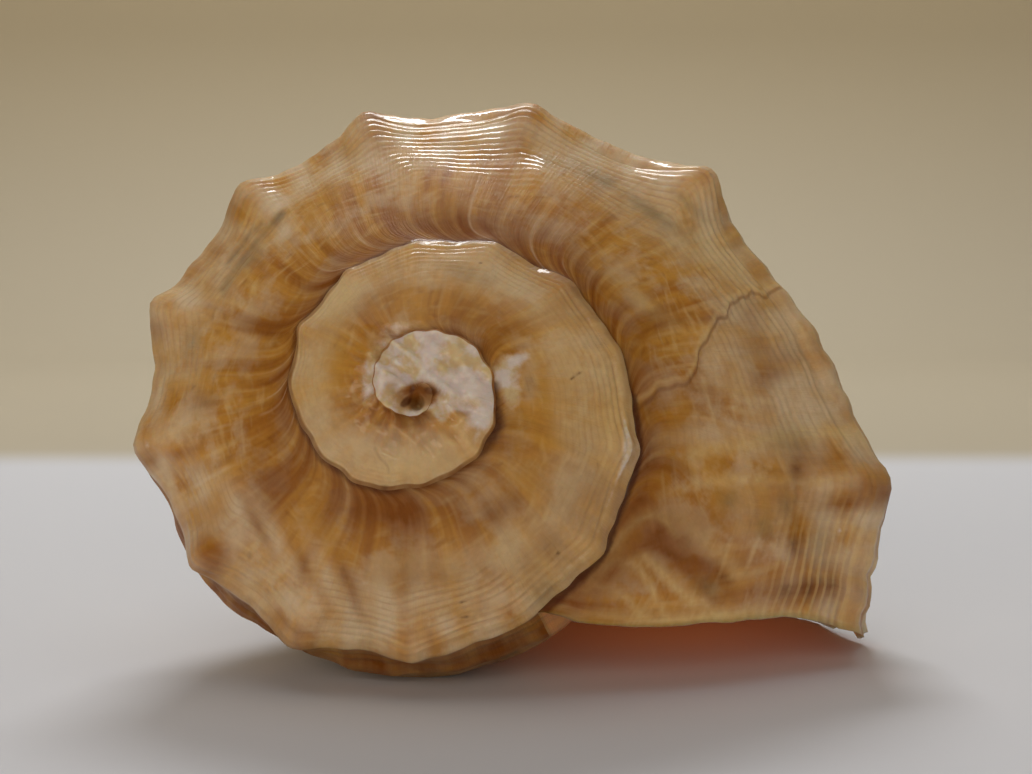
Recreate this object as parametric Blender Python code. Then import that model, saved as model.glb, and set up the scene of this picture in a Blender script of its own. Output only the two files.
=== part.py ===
# Rapa whelk shell lying on its aperture, as one closed solid
# Lengths in the shape functions are in millimetres, angles in degrees, growth in turns of the spiral.
# Turn 0 is the edge of the outer lip and earlier turns are negative, back to the apex.
# A point of the shell is a radius from the axis, an angle round it and a depth below the apex.

import bpy
import numpy as np

MM = 0.001

# Spiral: radius of the shoulder every eighth of a turn, from the lip back to the apex
SHOULDER_RADII = [41.9, 35.6, 32.8, 31.2, 28.9, 25.9, 22.5, 20.5, 18.6, 17.0, 15.3, 14.0, 12.5, 10.6,
                  9.0, 7.9, 7.2, 6.4, 5.5, 4.8, 4.1, 3.4, 2.7, 2.1, 1.5, 0.9, 0.4, 0.0]
STEPS_PER_TURN = 8
FIRST_TURN = -(len(SHOULDER_RADII) - 1) / STEPS_PER_TURN
SHOULDER_DEPTH = 28.9
DEPTH_GROWTH = 2.5

# Profile: ramp from the suture to the shoulder, then the wall down to the siphonal canal
RAMP_END = 0.955
RAMP_WAVE = 0.07
SUTURE_DROP = 0.08
SUTURE_CHANNEL = 0.035
TURNING = 0.03
WALL_SWELL = 0.2
WALL_LENGTH = 1.2
WALL_TAPER = 1.0
EARLIER_WALL_GROWTH = 0.42
TIP_DEPTH = 79.0
SNOUT_RADIUS = 4.4
SNOUT_SLOPE = 0.45
SNOUT_REACH = 14.0
SNOUT_BLEND = 2.6
SNOUT_BEND = (-3.0, -0.2)
BEND_FROM = 47.0
WALL_SPACING = 1.35

# Knobs on the shoulder, 13.26 to the turn, the first ones with their own heights
KNOB_TURN = -0.055
KNOB_STEP = 0.0754
KNOB_HEIGHTS = [2.5, 0.3, 3.0, 1.7, 1.6, 1.7, 2.0, 1.9, 1.6, 1.3, 1.0]
KNOB_SHARE = 0.06
KNOB_SHARPNESS = 1.8
KNOB_LIFT = 0.35
KNOB_FOLD = 0.35
KNOB_FALL = 0.16

# Low spiral ribs on the wall, at shares of the shoulder radius below the shoulder
RIB_DROPS = [0.30, 0.55, 0.80]
RIB_HEIGHT = 0.022
RIB_WIDTH = 0.055

# Ridge of old canal ends, the fasciole, winding round the snout
FASCIOLE_HEIGHT = 1.6
FASCIOLE_WIDTH = 3.2
FASCIOLE_DEPTH = 73.0
FASCIOLE_RISE = 0.30

# Mouth: the lip runs ahead by SWEEP turns at the suture, and its edge lies near the resting plane
SWEEP = 0.1
SWEEP_BEND = 1.7
REST_LEVEL = -28.8
LIP_LIFTS = [4.1, 2.9, 1.7, 0.9, 0.3, 0.1, 0.1, 0.1, 0.1]
LIP_END_ANGLE = -61.0
PARIETAL_ANGLES = [0.0, -0.5, -1.0, -2.0, -4.0, -9.0, -22.0, -44.0, -66.0]
LIP_THICKNESS = 1.8
CALLUS_THICKNESS = 0.4
CANAL_GROOVE = 3.4

# Hollow behind the mouth
HOLLOW_CENTRE = (21.0, -10.5, 43.0)
HOLLOW_TURNS = 0.52
HOLLOW_NARROWING = 0.24
CANAL_FADE = 0.07
CANAL_FROM = 60.0
CANAL_FULL = 76.0
CANAL_CORE_TOP = (13.0, -4.0)
CANAL_CORE_TIP = (-2.7, 0.2)

# Worn apex: a flat crown with a hollow and a small hole
CROWN_DEPTH = 2.6
CROWN_HOLLOW_RADIUS = 3.0
CROWN_HOLLOW = 1.1
APEX_HOLE_RADIUS = 1.0
APEX_HOLE = 1.8

# How the shell lies: the apex end is raised, and the apex points a little to the left
TILT = 17.5
YAW = 6.0

# Fineness of the mesh
COLUMNS_PER_TURN = 80
RAMP_ROWS = 6
RAMP_ROW_SPACING = 1.25
DROP_ROWS = 2
WALL_ROWS = 20
CANAL_POINTS = 6
HOLLOW_RINGS = 16
END_RINGS = 3
SHARP_ANGLE = 40.0


def smooth(x):
    """Smooth step from 0 at x = 0 to 1 at x = 1."""
    x = np.clip(x, 0.0, 1.0)
    return x * x * (3.0 - 2.0 * x)


def through(x, values):
    """Smooth curve through equally spaced values, read at x in steps."""
    values = np.asarray(values, float)
    last = len(values) - 1
    x = np.clip(x, 0.0, last - 1e-9)
    i = x.astype(int)
    f = x - i
    a, b, c, d = (values[np.clip(i + k, 0, last)] for k in (-1, 0, 1, 2))
    return 0.5 * (2*b + (c - a)*f + (2*a - 5*b + 4*c - d)*f**2 + (3*b - a - 3*c + d)*f**3)


def shoulder_radius(turn):
    return through(-STEPS_PER_TURN * turn, SHOULDER_RADII)


def shoulder_depth(turn):
    """Depth of the shoulder, growing by DEPTH_GROWTH a turn from 0 at the apex."""
    first = DEPTH_GROWTH**FIRST_TURN
    return SHOULDER_DEPTH * (DEPTH_GROWTH**turn - first) / (1.0 - first)


def knob(turn):
    """Rise of the shoulder at a turn: highest at each knob, nothing halfway between two."""
    place = (KNOB_TURN - turn) / KNOB_STEP
    nearest = np.round(place)
    height = KNOB_SHARE * shoulder_radius(turn)
    for index, own_height in enumerate(KNOB_HEIGHTS):
        height = np.where(nearest == index, own_height, height)
    return height * (1.0 - 2.0 * np.abs(place - nearest))**KNOB_SHARPNESS


def body_radius(turn, drop):
    """Radius of the body whorl at a drop below the shoulder, both as shares of the shoulder radius."""
    long = drop / (WALL_LENGTH * np.exp(-EARLIER_WALL_GROWTH * turn))
    corner = RAMP_END + (1.0 - RAMP_END) * (1.0 - np.exp(-drop / TURNING))
    taper = (1.0 + WALL_SWELL * WALL_LENGTH * long) * np.clip(1.0 - long**2, 0.0, 1.0)**WALL_TAPER
    ribs = sum(np.exp(-((drop - place) / RIB_WIDTH)**2) for place in RIB_DROPS)
    return shoulder_radius(turn) * (corner * taper + RIB_HEIGHT * ribs)


def snout_radius(turn, depth):
    """Radius of the snout round the siphonal canal, with the fasciole winding over it."""
    away = (depth - FASCIOLE_DEPTH * np.exp(FASCIOLE_RISE * turn)) / FASCIOLE_WIDTH
    ridge = FASCIOLE_HEIGHT * np.exp(-away**2) * smooth(-turn / 0.25)
    widening = SNOUT_SLOPE * SNOUT_REACH * (1.0 - np.exp((depth - TIP_DEPTH) / SNOUT_REACH))
    return SNOUT_RADIUS + widening + ridge


def suture(turn):
    """Radius and depth where a whorl meets the one before it, just under that one's shoulder."""
    before = turn - (1.0 - SWEEP)
    drop = SUTURE_DROP * np.ones_like(before)
    radius = body_radius(before, drop) + knob(before) * np.exp(-(drop / KNOB_FALL)**2)
    depth = shoulder_depth(before) + SUTURE_DROP * shoulder_radius(before)
    depth = depth - KNOB_LIFT * knob(before) * np.exp(-(drop / KNOB_FALL)**2)
    started = before > FIRST_TURN
    return np.where(started, radius, 0.0), np.where(started, depth, 0.0)


def wall(turn, share):
    """Radius and depth of the wall, share 0 at the shoulder to 1 at the tip of the canal."""
    radius, top = shoulder_radius(turn), shoulder_depth(turn)
    depth = top + (TIP_DEPTH - top) * share**WALL_SPACING
    drop = (depth - top) / np.maximum(radius, 1e-6)
    body, snout = body_radius(turn, drop), snout_radius(turn, depth)
    lower = smooth((drop - 0.1) / 0.4)
    radius = (body**SNOUT_BLEND + lower * snout**SNOUT_BLEND)**(1.0 / SNOUT_BLEND)
    near = knob(turn) * np.exp(-(drop / KNOB_FALL)**2)
    return radius + near, depth - KNOB_LIFT * near


def lip_angle(share):
    """Angle of the lip's edge where the wall's edge comes down to the resting plane."""
    radius, depth = wall(np.zeros_like(share), share)
    tilt = np.radians(TILT)
    level = REST_LEVEL + through(share * (len(LIP_LIFTS) - 1), LIP_LIFTS)
    sine = (level + depth * np.sin(tilt)) / (radius * np.cos(tilt))
    return np.degrees(np.arcsin(np.maximum(sine, np.sin(np.radians(LIP_END_ANGLE)))))


def outer_ramp(turn, share):
    """Ramp from the suture at share 0 to the shoulder at share 1, as radius, angle and depth."""
    inner_radius, inner_depth = suture(turn)
    outer_radius, outer_depth = RAMP_END * shoulder_radius(turn), shoulder_depth(turn)
    ahead = SWEEP * (1.0 - share)**SWEEP_BEND
    wave = share + RAMP_WAVE * np.sin(2.0 * np.pi * share)
    channel = SUTURE_CHANNEL * outer_radius * share * np.exp(-share / 0.05) / 0.05
    rise = knob(np.minimum(turn + ahead, 0.0)) * smooth((share - 1.0 + KNOB_FOLD) / KNOB_FOLD)**1.5
    radius = inner_radius + (outer_radius - inner_radius) * share + rise
    depth = inner_depth + (outer_depth - inner_depth) * wave + channel - KNOB_LIFT * rise
    angle = edge_start() - 360.0 * (ahead + turn)
    return radius, angle, depth


def outer_wall(turn, share):
    """Wall from the shoulder at share 0 to the canal's tip at share 1, as radius, angle and depth."""
    radius, depth = wall(turn, share)
    edge = lip_angle(share)
    gap = 360.0 * SWEEP - through(share * (len(PARIETAL_ANGLES) - 1), PARIETAL_ANGLES)
    gap = gap + edge - edge_start()
    return radius, edge - turn / (1.0 - SWEEP) * (360.0 - gap), depth


def edge_start():
    """Angle of the lip's corner, where the ramp ends."""
    return lip_angle(np.zeros(1))[0]


def in_space(radius, angle, depth):
    """Points (x, y, height) of the shell's own frame: axis upright, apex at 0, canal bent to one side."""
    angle = np.radians(angle)
    bend = np.maximum((depth - BEND_FROM) / (TIP_DEPTH - BEND_FROM), 0.0)**2
    x = radius * np.cos(angle) + SNOUT_BEND[0] * bend
    y = radius * np.sin(angle) + SNOUT_BEND[1] * bend
    return np.stack([x, y, -depth], axis=-1)


def worn_crown(points):
    """The oldest whorls worn down to a flat crown, hollowed in the middle round a small hole."""
    away = np.hypot(points[:, 0], points[:, 1])
    crown = -CROWN_DEPTH - CROWN_HOLLOW * (1.0 - smooth(away / CROWN_HOLLOW_RADIUS))
    crown = crown - APEX_HOLE * (1.0 - smooth(away / APEX_HOLE_RADIUS))
    points[:, 2] = np.minimum(points[:, 2], crown)
    return points


class Net:
    """Vertices and faces of the shell, collected strip by strip."""

    def __init__(self):
        self.points = []
        self.faces = []
        self.count = 0

    def add(self, points):
        """Numbers of the newly added points."""
        points = np.asarray(points, float).reshape(-1, 3)
        self.points.append(points)
        self.count += len(points)
        return np.arange(self.count - len(points), self.count)

    def grid(self, numbers):
        """Quads over a grid of point numbers; a side that has shrunk to one point gives a triangle."""
        a, b = numbers[:-1, :-1].ravel(), numbers[1:, :-1].ravel()
        c, d = numbers[1:, 1:].ravel(), numbers[:-1, 1:].ravel()
        for quad in zip(a, b, c, d):
            corners = list(dict.fromkeys(int(n) for n in quad))
            if len(corners) > 2:
                self.faces.append(corners)

    def between(self, one, other):
        """Triangles between two rows of point numbers of different length that share both ends."""
        i = j = 0
        while i < len(one) - 1 or j < len(other) - 1:
            ahead = (i + 1) / (len(one) - 1) <= (j + 1) / (len(other) - 1)
            if (ahead and i < len(one) - 1) or j == len(other) - 1:
                corners = [one[i], one[i + 1], other[j]]
                i += 1
            else:
                corners = [one[i], other[j + 1], other[j]]
                j += 1
            corners = list(dict.fromkeys(int(n) for n in corners))
            if len(corners) == 3:
                self.faces.append(corners)


def outside(net):
    """The whole outer surface: the ramps of every whorl, each sewn to the one before it, and the wall
    of the last turn. Returns the numbers of the lip's edge and of the mouth's inner edge."""
    columns = round(-FIRST_TURN * COLUMNS_PER_TURN) + 1
    overlap = round((1.0 - SWEEP) * COLUMNS_PER_TURN)
    turns = (np.arange(columns) - (columns - 1)) / COLUMNS_PER_TURN
    ramp_shares = (np.arange(1, RAMP_ROWS + 1) / RAMP_ROWS)**RAMP_ROW_SPACING
    drop_share = drop_end(turns)[:, None] * np.arange(1, DROP_ROWS + 1) / DROP_ROWS
    ramp = in_space(*outer_ramp(turns[:, None], ramp_shares[None, :]))
    drop = in_space(*outer_wall(turns[:, None], drop_share))
    rows = np.concatenate([ramp, drop], axis=1)
    rows[0] = 0.0
    last_row = RAMP_ROWS + DROP_ROWS
    numbers = np.zeros((columns, last_row + 1), int)
    pole = net.add(worn_crown(np.zeros((1, 3))))[0]
    numbers[0] = pole
    own = net.add(worn_crown(rows[1:].reshape(-1, 3))).reshape(columns - 1, last_row)
    numbers[1:, 1:] = own
    numbers[:overlap + 1, 0] = pole
    numbers[overlap:, 0] = numbers[:columns - overlap, last_row]
    net.grid(numbers)

    open_turns = turns[columns - 1 - overlap:]
    start = drop_end(open_turns)[:, None]
    shares = start + (1.0 - start) * (np.arange(1, WALL_ROWS + 1) / WALL_ROWS)
    wall_points = in_space(*outer_wall(open_turns[:, None], shares))
    low = net.add(wall_points).reshape(len(open_turns), WALL_ROWS)
    low = np.concatenate([numbers[columns - 1 - overlap:, last_row:], low], axis=1)
    net.grid(low)
    lip = np.concatenate([numbers[-1], low[-1, 1:]])
    return lip, low[0, 1:], low[:, -1]


def drop_end(turns):
    """Share of the wall at which the next whorl covers it."""
    radius, top = shoulder_radius(turns), shoulder_depth(turns)
    return (SUTURE_DROP * radius / (TIP_DEPTH - top))**(1.0 / WALL_SPACING)


def mouth_ring(net, lip, parietal):
    """Numbers round the mouth: along the lip, across the end of the canal and back up the inner side."""
    points = np.concatenate(net.points)
    start, end = points[lip[-1]], points[parietal[-1]]
    share = np.arange(1, CANAL_POINTS)[:, None] / CANAL_POINTS
    across = start + (end - start) * share
    across[:, 1] += CANAL_GROOVE * np.sin(np.pi * share[:, 0])**0.7
    canal = net.add(across)
    return np.concatenate([lip, canal, parietal[::-1]]), np.concatenate([lip[-1:], canal, parietal[-1:]])


def hollow(net, ring, lip_count, parietal_count):
    """The hollow behind the mouth: rings that turn back into the shell, shrink and close in a dome."""
    mouth = np.concatenate(net.points)[ring]
    centre = np.array([HOLLOW_CENTRE[0], HOLLOW_CENTRE[1], -HOLLOW_CENTRE[2]])
    count = len(ring)
    place = np.arange(count)
    on_lip = smooth(place / 3.0) * smooth((lip_count + CANAL_POINTS - place) / CANAL_POINTS)
    thickness = CALLUS_THICKNESS + (LIP_THICKNESS - CALLUS_THICKNESS) * on_lip
    canal = smooth((-mouth[:, 2] - CANAL_FROM) / (CANAL_FULL - CANAL_FROM))[:, None]
    target = centre + canal * (canal_core(-mouth[:, 2]) - centre)
    inward = target - mouth
    distance = np.linalg.norm(inward, axis=1)
    edge = mouth + inward * (np.minimum(thickness, 0.5 * distance) / distance)[:, None]
    rows = [ring]
    shares = (np.arange(HOLLOW_RINGS) / (HOLLOW_RINGS - 1))**1.4
    for share in shares:
        back = 0.004 + HOLLOW_TURNS * share
        points = hollow_ring(edge, target, centre, canal, back)
        rows.append(net.add(points))
    middle = points.mean(axis=0)
    ahead = points - hollow_ring(edge, target, centre, canal, back - 0.02)
    ahead = ahead.mean(axis=0)
    ahead *= 7.0 / np.linalg.norm(ahead)
    for k in range(1, END_RINGS):
        angle = np.pi / 2 * k / END_RINGS
        rows.append(net.add(middle + (points - middle) * np.cos(angle) + ahead * np.sin(angle)))
    rows.append(np.full(count, net.add(middle + ahead)[0]))
    numbers = np.array(rows)
    numbers = np.concatenate([numbers, numbers[:, :1]], axis=1)
    net.grid(numbers)


def canal_core(depth):
    """Middle of the siphonal canal at a depth, from under the body whorl to the tip."""
    share = np.clip((depth - CANAL_FROM) / (TIP_DEPTH - CANAL_FROM), 0.0, 1.0)[:, None]
    across = np.array(CANAL_CORE_TOP) + (np.array(CANAL_CORE_TIP) - np.array(CANAL_CORE_TOP)) * share
    return np.concatenate([across, -depth[:, None] + 1.5], axis=1)


def hollow_ring(edge, target, centre, canal, back):
    """The mouth's inner edge carried back into the shell by some turns, about the axis."""
    turn = np.array([-back])
    across = shoulder_radius(turn)[0] / shoulder_radius(np.zeros(1))[0]
    along = shoulder_depth(turn)[0] / SHOULDER_DEPTH
    shrink = 1.0 - HOLLOW_NARROWING * (1.0 - np.exp(-back / 0.2))
    closing = np.exp(-back / CANAL_FADE)
    keep = shrink * (1.0 - canal * (1.0 - closing))
    middle = target + (centre - target) * (1.0 - closing)
    points = (middle + (edge - target) * keep) * np.array([across, across, along])
    angle = 2.0 * np.pi * back
    turned = points.copy()
    turned[:, 0] = points[:, 0] * np.cos(angle) - points[:, 1] * np.sin(angle)
    turned[:, 1] = points[:, 0] * np.sin(angle) + points[:, 1] * np.cos(angle)
    return turned


def shell_net():
    """Points and faces of the closed shell in its own frame."""
    net = Net()
    lip, parietal, tip = outside(net)
    ring, canal = mouth_ring(net, lip, parietal)
    hollow(net, ring, len(lip), len(parietal))
    net.between(canal, tip[::-1])
    return np.concatenate(net.points), net.faces


def lying(points):
    """Points of the shell as it lies: axis tilted, lowest point at 0, middle of its box over the origin."""
    tilt, yaw = np.radians(TILT), np.radians(YAW)
    axis = np.array([-np.sin(yaw) * np.cos(tilt), -np.cos(yaw) * np.cos(tilt), np.sin(tilt)])
    up = np.array([0.0, 0.0, 1.0]) - axis[2] * axis
    up /= np.linalg.norm(up)
    right = np.cross(up, axis)
    world = points @ np.array([right, up, axis])
    low, high = world.min(axis=0), world.max(axis=0)
    return world - np.array([(low[0] + high[0]) / 2, (low[1] + high[1]) / 2, low[2]])


def shell_material():
    """Aged calcite, caramel with a varnished gloss."""
    material = bpy.data.materials.new("aged_calcite_shell")
    material.use_nodes = True
    shader = material.node_tree.nodes["Principled BSDF"]
    shader.inputs["Base Color"].default_value = (0.55, 0.32, 0.13, 1.0)
    shader.inputs["Roughness"].default_value = 0.35
    shader.inputs["Metallic"].default_value = 0.0
    return material


def whelk_shell():
    points, faces = shell_net()
    mesh = bpy.data.meshes.new("whelk_shell")
    mesh.from_pydata((lying(points) * MM).tolist(), [], faces)
    mesh.validate()
    mesh.shade_smooth()
    mesh.set_sharp_from_angle(angle=np.radians(SHARP_ANGLE))
    shell = bpy.data.objects.new("whelk_shell", mesh)
    bpy.context.scene.collection.objects.link(shell)
    mesh.materials.append(shell_material())
    return shell


for old in list(bpy.data.objects):
    bpy.data.objects.remove(old)
whelk_shell()
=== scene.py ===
# %% [markdown]
# # A rapa whelk shell, seen from its apex
# The object is one empty snail shell, lying mouth down with its apex towards us. A snail makes its shell at
# the edge of the mouth only, so the whole surface is that edge, carried round an axis while it grows. That is
# how it is made here: every point has a turn (how far round, 0 at the edge of the lip) and a share (how far
# across, from the suture to the shoulder and from there to the tip of the siphonal canal).
# Lengths in the shape functions are in millimetres, because a shell is measured in them.

import bpy
import numpy as np
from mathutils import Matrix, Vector


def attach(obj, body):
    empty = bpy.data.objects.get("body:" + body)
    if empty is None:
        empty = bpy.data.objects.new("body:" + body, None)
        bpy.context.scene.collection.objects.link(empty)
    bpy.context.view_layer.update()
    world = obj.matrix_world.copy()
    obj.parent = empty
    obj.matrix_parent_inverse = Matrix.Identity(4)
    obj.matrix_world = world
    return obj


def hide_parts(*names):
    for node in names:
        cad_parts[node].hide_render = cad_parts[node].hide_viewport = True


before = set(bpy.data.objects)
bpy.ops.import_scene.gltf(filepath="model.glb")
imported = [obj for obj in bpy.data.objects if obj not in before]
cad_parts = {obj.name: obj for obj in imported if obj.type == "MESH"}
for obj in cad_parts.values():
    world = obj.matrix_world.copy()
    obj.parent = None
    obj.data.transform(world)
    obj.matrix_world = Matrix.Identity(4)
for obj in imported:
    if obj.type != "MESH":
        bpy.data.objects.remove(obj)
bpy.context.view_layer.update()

# %% [markdown]
# ## The spiral
# The shoulder is the corner between the sloping ramp and the wall of a whorl. Its radius is read every eighth
# of a turn and a smooth curve runs through the readings, because a real shell never follows a perfect
# logarithmic spiral. The depth does follow one: it grows by the same factor each turn.

# %% Radius and depth of the shoulder
SHOULDER_RADII = [41.9, 35.6, 32.8, 31.2, 28.9, 25.9, 22.5, 20.5, 18.6, 17.0, 15.3, 14.0, 12.5, 10.6,
                  9.0, 7.9, 7.2, 6.4, 5.5, 4.8, 4.1, 3.4, 2.7, 2.1, 1.5, 0.9, 0.4, 0.0]
STEPS_PER_TURN = 8
FIRST_TURN = -(len(SHOULDER_RADII) - 1) / STEPS_PER_TURN
SHOULDER_DEPTH = 28.9
DEPTH_GROWTH = 2.5
TINY = 1e-9


def smooth(x):
    """Smooth step from 0 at x = 0 to 1 at x = 1."""
    x = np.clip(x, 0.0, 1.0)
    return x * x * (3.0 - 2.0 * x)


def through(x, values):
    """Smooth curve through equally spaced values, read at x in steps: a cubic between each two of them."""
    values = np.asarray(values, float)
    last = len(values) - 1
    x = np.clip(x, 0.0, last - TINY)
    i = x.astype(int)
    f = x - i
    a, b, c, d = (values[np.clip(i + k, 0, last)] for k in (-1, 0, 1, 2))
    return 0.5 * (2*b + (c - a)*f + (2*a - 5*b + 4*c - d)*f**2 + (3*b - a - 3*c + d)*f**3)


def shoulder_radius(turn):
    """Radius of the shoulder at a turn: the smooth curve through the readings, one each eighth of a turn."""
    return through(-STEPS_PER_TURN * turn, SHOULDER_RADII)


def shoulder_depth(turn):
    """Depth of the shoulder below the apex: a power that grows with the turn, shifted to 0 at the apex."""
    first = DEPTH_GROWTH**FIRST_TURN
    return SHOULDER_DEPTH * (DEPTH_GROWTH**turn - first) / (1.0 - first)


turns_read = np.linspace(FIRST_TURN, 0.0, 4)
print("shoulder radius in mm at turns", turns_read.round(2), "is", shoulder_radius(turns_read).round(1))

# %% [markdown]
# ## Knobs
# Rapa whelks carry a row of blunt knobs on the shoulder, where the lip stood still for a while and curled
# outwards. They are evenly spaced in angle, and between two of them the shoulder runs almost straight, so the
# whorl looks like a polygon from the apex. A power of the distance to the nearest knob gives that outline.
# The youngest knobs have heights and shifts of their own, because the photograph shows each of them well. The
# old ones are worn down to a slightly uneven edge.

# %% Knobs on the shoulder
KNOB_TURN = -0.055
KNOB_STEP = 0.0754
KNOB_HEIGHTS = [2.5, 0.3, 3.1, 2.0, 1.9, 1.8, 2.0, 1.9, 1.6, 1.3, 1.0]
KNOB_SHIFTS = [0.0, 0.0, 0.006, -0.004, -0.007, -0.002, 0.0, 0.0, 0.0, 0.0, 0.0]
KNOB_SHARE = 0.03
KNOB_SHARPNESS = 1.8
KNOB_LIFT = 0.35
KNOB_FOLD = 0.35
KNOB_FALL = 0.16
KNOB_ROUND = 0.07
KNOB_BOSS = 0.30
KNOB_BOSS_WIDTH = 0.17
KNOB_VARIETY = (0.5, 2.1)
KNOB_FADE_FROM = -1.4
KNOB_FADE_OVER = 0.35
KNOB_FADED = 0.9
OLD_FROM = -1.3
OLD_OVER = 0.4
OLD_HEIGHT = 0.010
OLD_PACES = [(71.0, 0.0), (113.0, 1.0), (29.0, 2.0)]


def knob(turn):
    """Rise of the shoulder at a turn: a power of the distance to the nearest knob, nothing halfway between
    two, rounded off at the top and with a bell-shaped boss on it. Knobs before those that have a height of
    their own vary by a sine. On the oldest whorls they fade, and three sines make the edge uneven."""
    place = (KNOB_TURN - turn) / KNOB_STEP
    place = place + np.interp(place, np.arange(len(KNOB_SHIFTS)), KNOB_SHIFTS) / KNOB_STEP
    nearest = np.round(place)
    height = KNOB_SHARE * shoulder_radius(turn) * (1.0 + KNOB_VARIETY[0] * np.sin(KNOB_VARIETY[1] * nearest))
    height = height * (1.0 - KNOB_FADED * smooth((KNOB_FADE_FROM - turn) / KNOB_FADE_OVER))
    for index, own_height in enumerate(KNOB_HEIGHTS):
        height = np.where(nearest == index, own_height, height)
    away = np.abs(place - nearest)
    rounded = np.maximum(1.0 - 2.0 * np.hypot(away, KNOB_ROUND), 0.0)**KNOB_SHARPNESS
    uneven = sum(np.sin(turn * pace + start) for pace, start in OLD_PACES)
    uneven = uneven * OLD_HEIGHT * shoulder_radius(turn) * smooth((OLD_FROM - turn) / OLD_OVER)
    return height * (rounded + KNOB_BOSS * np.exp(-(away / KNOB_BOSS_WIDTH)**2)) + uneven


print("knobs on the last turn:", int(0.9 / KNOB_STEP))

# %% [markdown]
# ## The wall, the snout and the ramp
# Below the shoulder the body whorl swells a little and then draws in to the snout round the siphonal canal.
# Above it the ramp rises to the suture, where each whorl is stuck just under the shoulder of the one before.
# The edge of the mouth runs ahead at the suture, so the ramp is sheared a little against the wall.

# %% Profile of the wall
RAMP_END = 0.955
TURNING = 0.03
WALL_SWELL = 0.2
WALL_LENGTH = 1.2
WALL_TAPER = 1.0
EARLIER_WALL_GROWTH = 0.42
TIP_DEPTH = 79.0
SNOUT_RADIUS = 4.4
SNOUT_SLOPE = 0.45
SNOUT_REACH = 14.0
SNOUT_BLEND = 2.6
SNOUT_FROM, SNOUT_OVER = 0.1, 0.4
LEAST_RADIUS = 1e-6
SNOUT_BEND = (-3.0, -0.2)
BEND_FROM = 47.0
WALL_SPACING = 1.35
RIB_DROPS = [0.30, 0.55, 0.80]
RIB_HEIGHT = 0.022
RIB_WIDTH = 0.055
FASCIOLE_HEIGHT = 1.6
FASCIOLE_WIDTH = 3.2
FASCIOLE_DEPTH = 73.0
FASCIOLE_RISE = 0.30
FASCIOLE_TURNS = 0.25


def body_radius(turn, drop):
    """Radius of the body whorl at a drop below the shoulder: a turning corner, a swell and a parabola to 0,
    with three low ribs. Radius and drop are both shares of the shoulder's radius."""
    long = drop / (WALL_LENGTH * np.exp(-EARLIER_WALL_GROWTH * turn))
    corner = RAMP_END + (1.0 - RAMP_END) * (1.0 - np.exp(-drop / TURNING))
    taper = (1.0 + WALL_SWELL * WALL_LENGTH * long) * np.clip(1.0 - long**2, 0.0, 1.0)**WALL_TAPER
    ribs = sum(np.exp(-((drop - place) / RIB_WIDTH)**2) for place in RIB_DROPS)
    return shoulder_radius(turn) * (corner * taper + RIB_HEIGHT * ribs)


def snout_radius(turn, depth):
    """Radius of the snout, widening from the tip and levelling off, with the fasciole winding over it."""
    away = (depth - FASCIOLE_DEPTH * np.exp(FASCIOLE_RISE * turn)) / FASCIOLE_WIDTH
    ridge = FASCIOLE_HEIGHT * np.exp(-away**2) * smooth(-turn / FASCIOLE_TURNS)
    widening = SNOUT_SLOPE * SNOUT_REACH * (1.0 - np.exp((depth - TIP_DEPTH) / SNOUT_REACH))
    return SNOUT_RADIUS + widening + ridge


def wall(turn, share):
    """Radius and depth of the wall, share 0 at the shoulder to 1 at the tip of the canal."""
    radius, top = shoulder_radius(turn), shoulder_depth(turn)
    depth = top + (TIP_DEPTH - top) * share**WALL_SPACING
    drop = (depth - top) / np.maximum(radius, LEAST_RADIUS)
    body, snout = body_radius(turn, drop), snout_radius(turn, depth)
    lower = smooth((drop - SNOUT_FROM) / SNOUT_OVER)
    radius = (body**SNOUT_BLEND + lower * snout**SNOUT_BLEND)**(1.0 / SNOUT_BLEND)
    near = knob(turn) * np.exp(-(drop / KNOB_FALL)**2)
    return radius + near, depth - KNOB_LIFT * near


half_way = wall(np.zeros(1), np.array([0.5]))
print("wall half way down, radius and depth:", [value.round(1) for value in half_way])

# %% Profile of the ramp and the edge of the lip
RAMP_WAVE = 0.02
RAMP_SWELL = 0.08
SUTURE_FOLD = 0.07
SUTURE_DROP = 0.055
SUTURE_CHANNEL = 0.010
CHANNEL_SHARE = 0.05
SEWN_KNOBS = 0.35
FOLD_POWER = 1.5
SWEEP = 0.1
SWEEP_BEND = 1.7
REST_LEVEL = -28.8
LIP_LIFTS = [4.1, 2.9, 1.7, 0.9, 0.3, 0.1, 0.1, 0.1, 0.1]
LIP_END_ANGLE = -61.0
PARIETAL_ANGLES = [0.0, -0.5, -1.0, -2.0, -4.0, -9.0, -22.0, -44.0, -66.0]
TILT = 17.5
YAW = 6.0


def suture(turn):
    """Radius and depth where a whorl meets the one before it, just under that one's shoulder."""
    before = turn - (1.0 - SWEEP)
    drop = SUTURE_DROP * np.ones_like(before)
    near = knob(before) * np.exp(-(drop / KNOB_FALL)**2)
    radius = body_radius(before, drop) + near
    depth = shoulder_depth(before) + SUTURE_DROP * shoulder_radius(before) - KNOB_LIFT * near
    started = before > FIRST_TURN
    return np.where(started, radius, 0.0), np.where(started, depth, 0.0)


def lip_angle(share):
    """Angle of the lip's edge where the wall's edge comes down to the resting plane."""
    radius, depth = wall(np.zeros_like(share), share)
    tilt = np.radians(TILT)
    level = REST_LEVEL + through(share * (len(LIP_LIFTS) - 1), LIP_LIFTS)
    sine = (level + depth * np.sin(tilt)) / (radius * np.cos(tilt))
    return np.degrees(np.arcsin(np.maximum(sine, np.sin(np.radians(LIP_END_ANGLE)))))


EDGE_START = lip_angle(np.zeros(1))[0]


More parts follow.
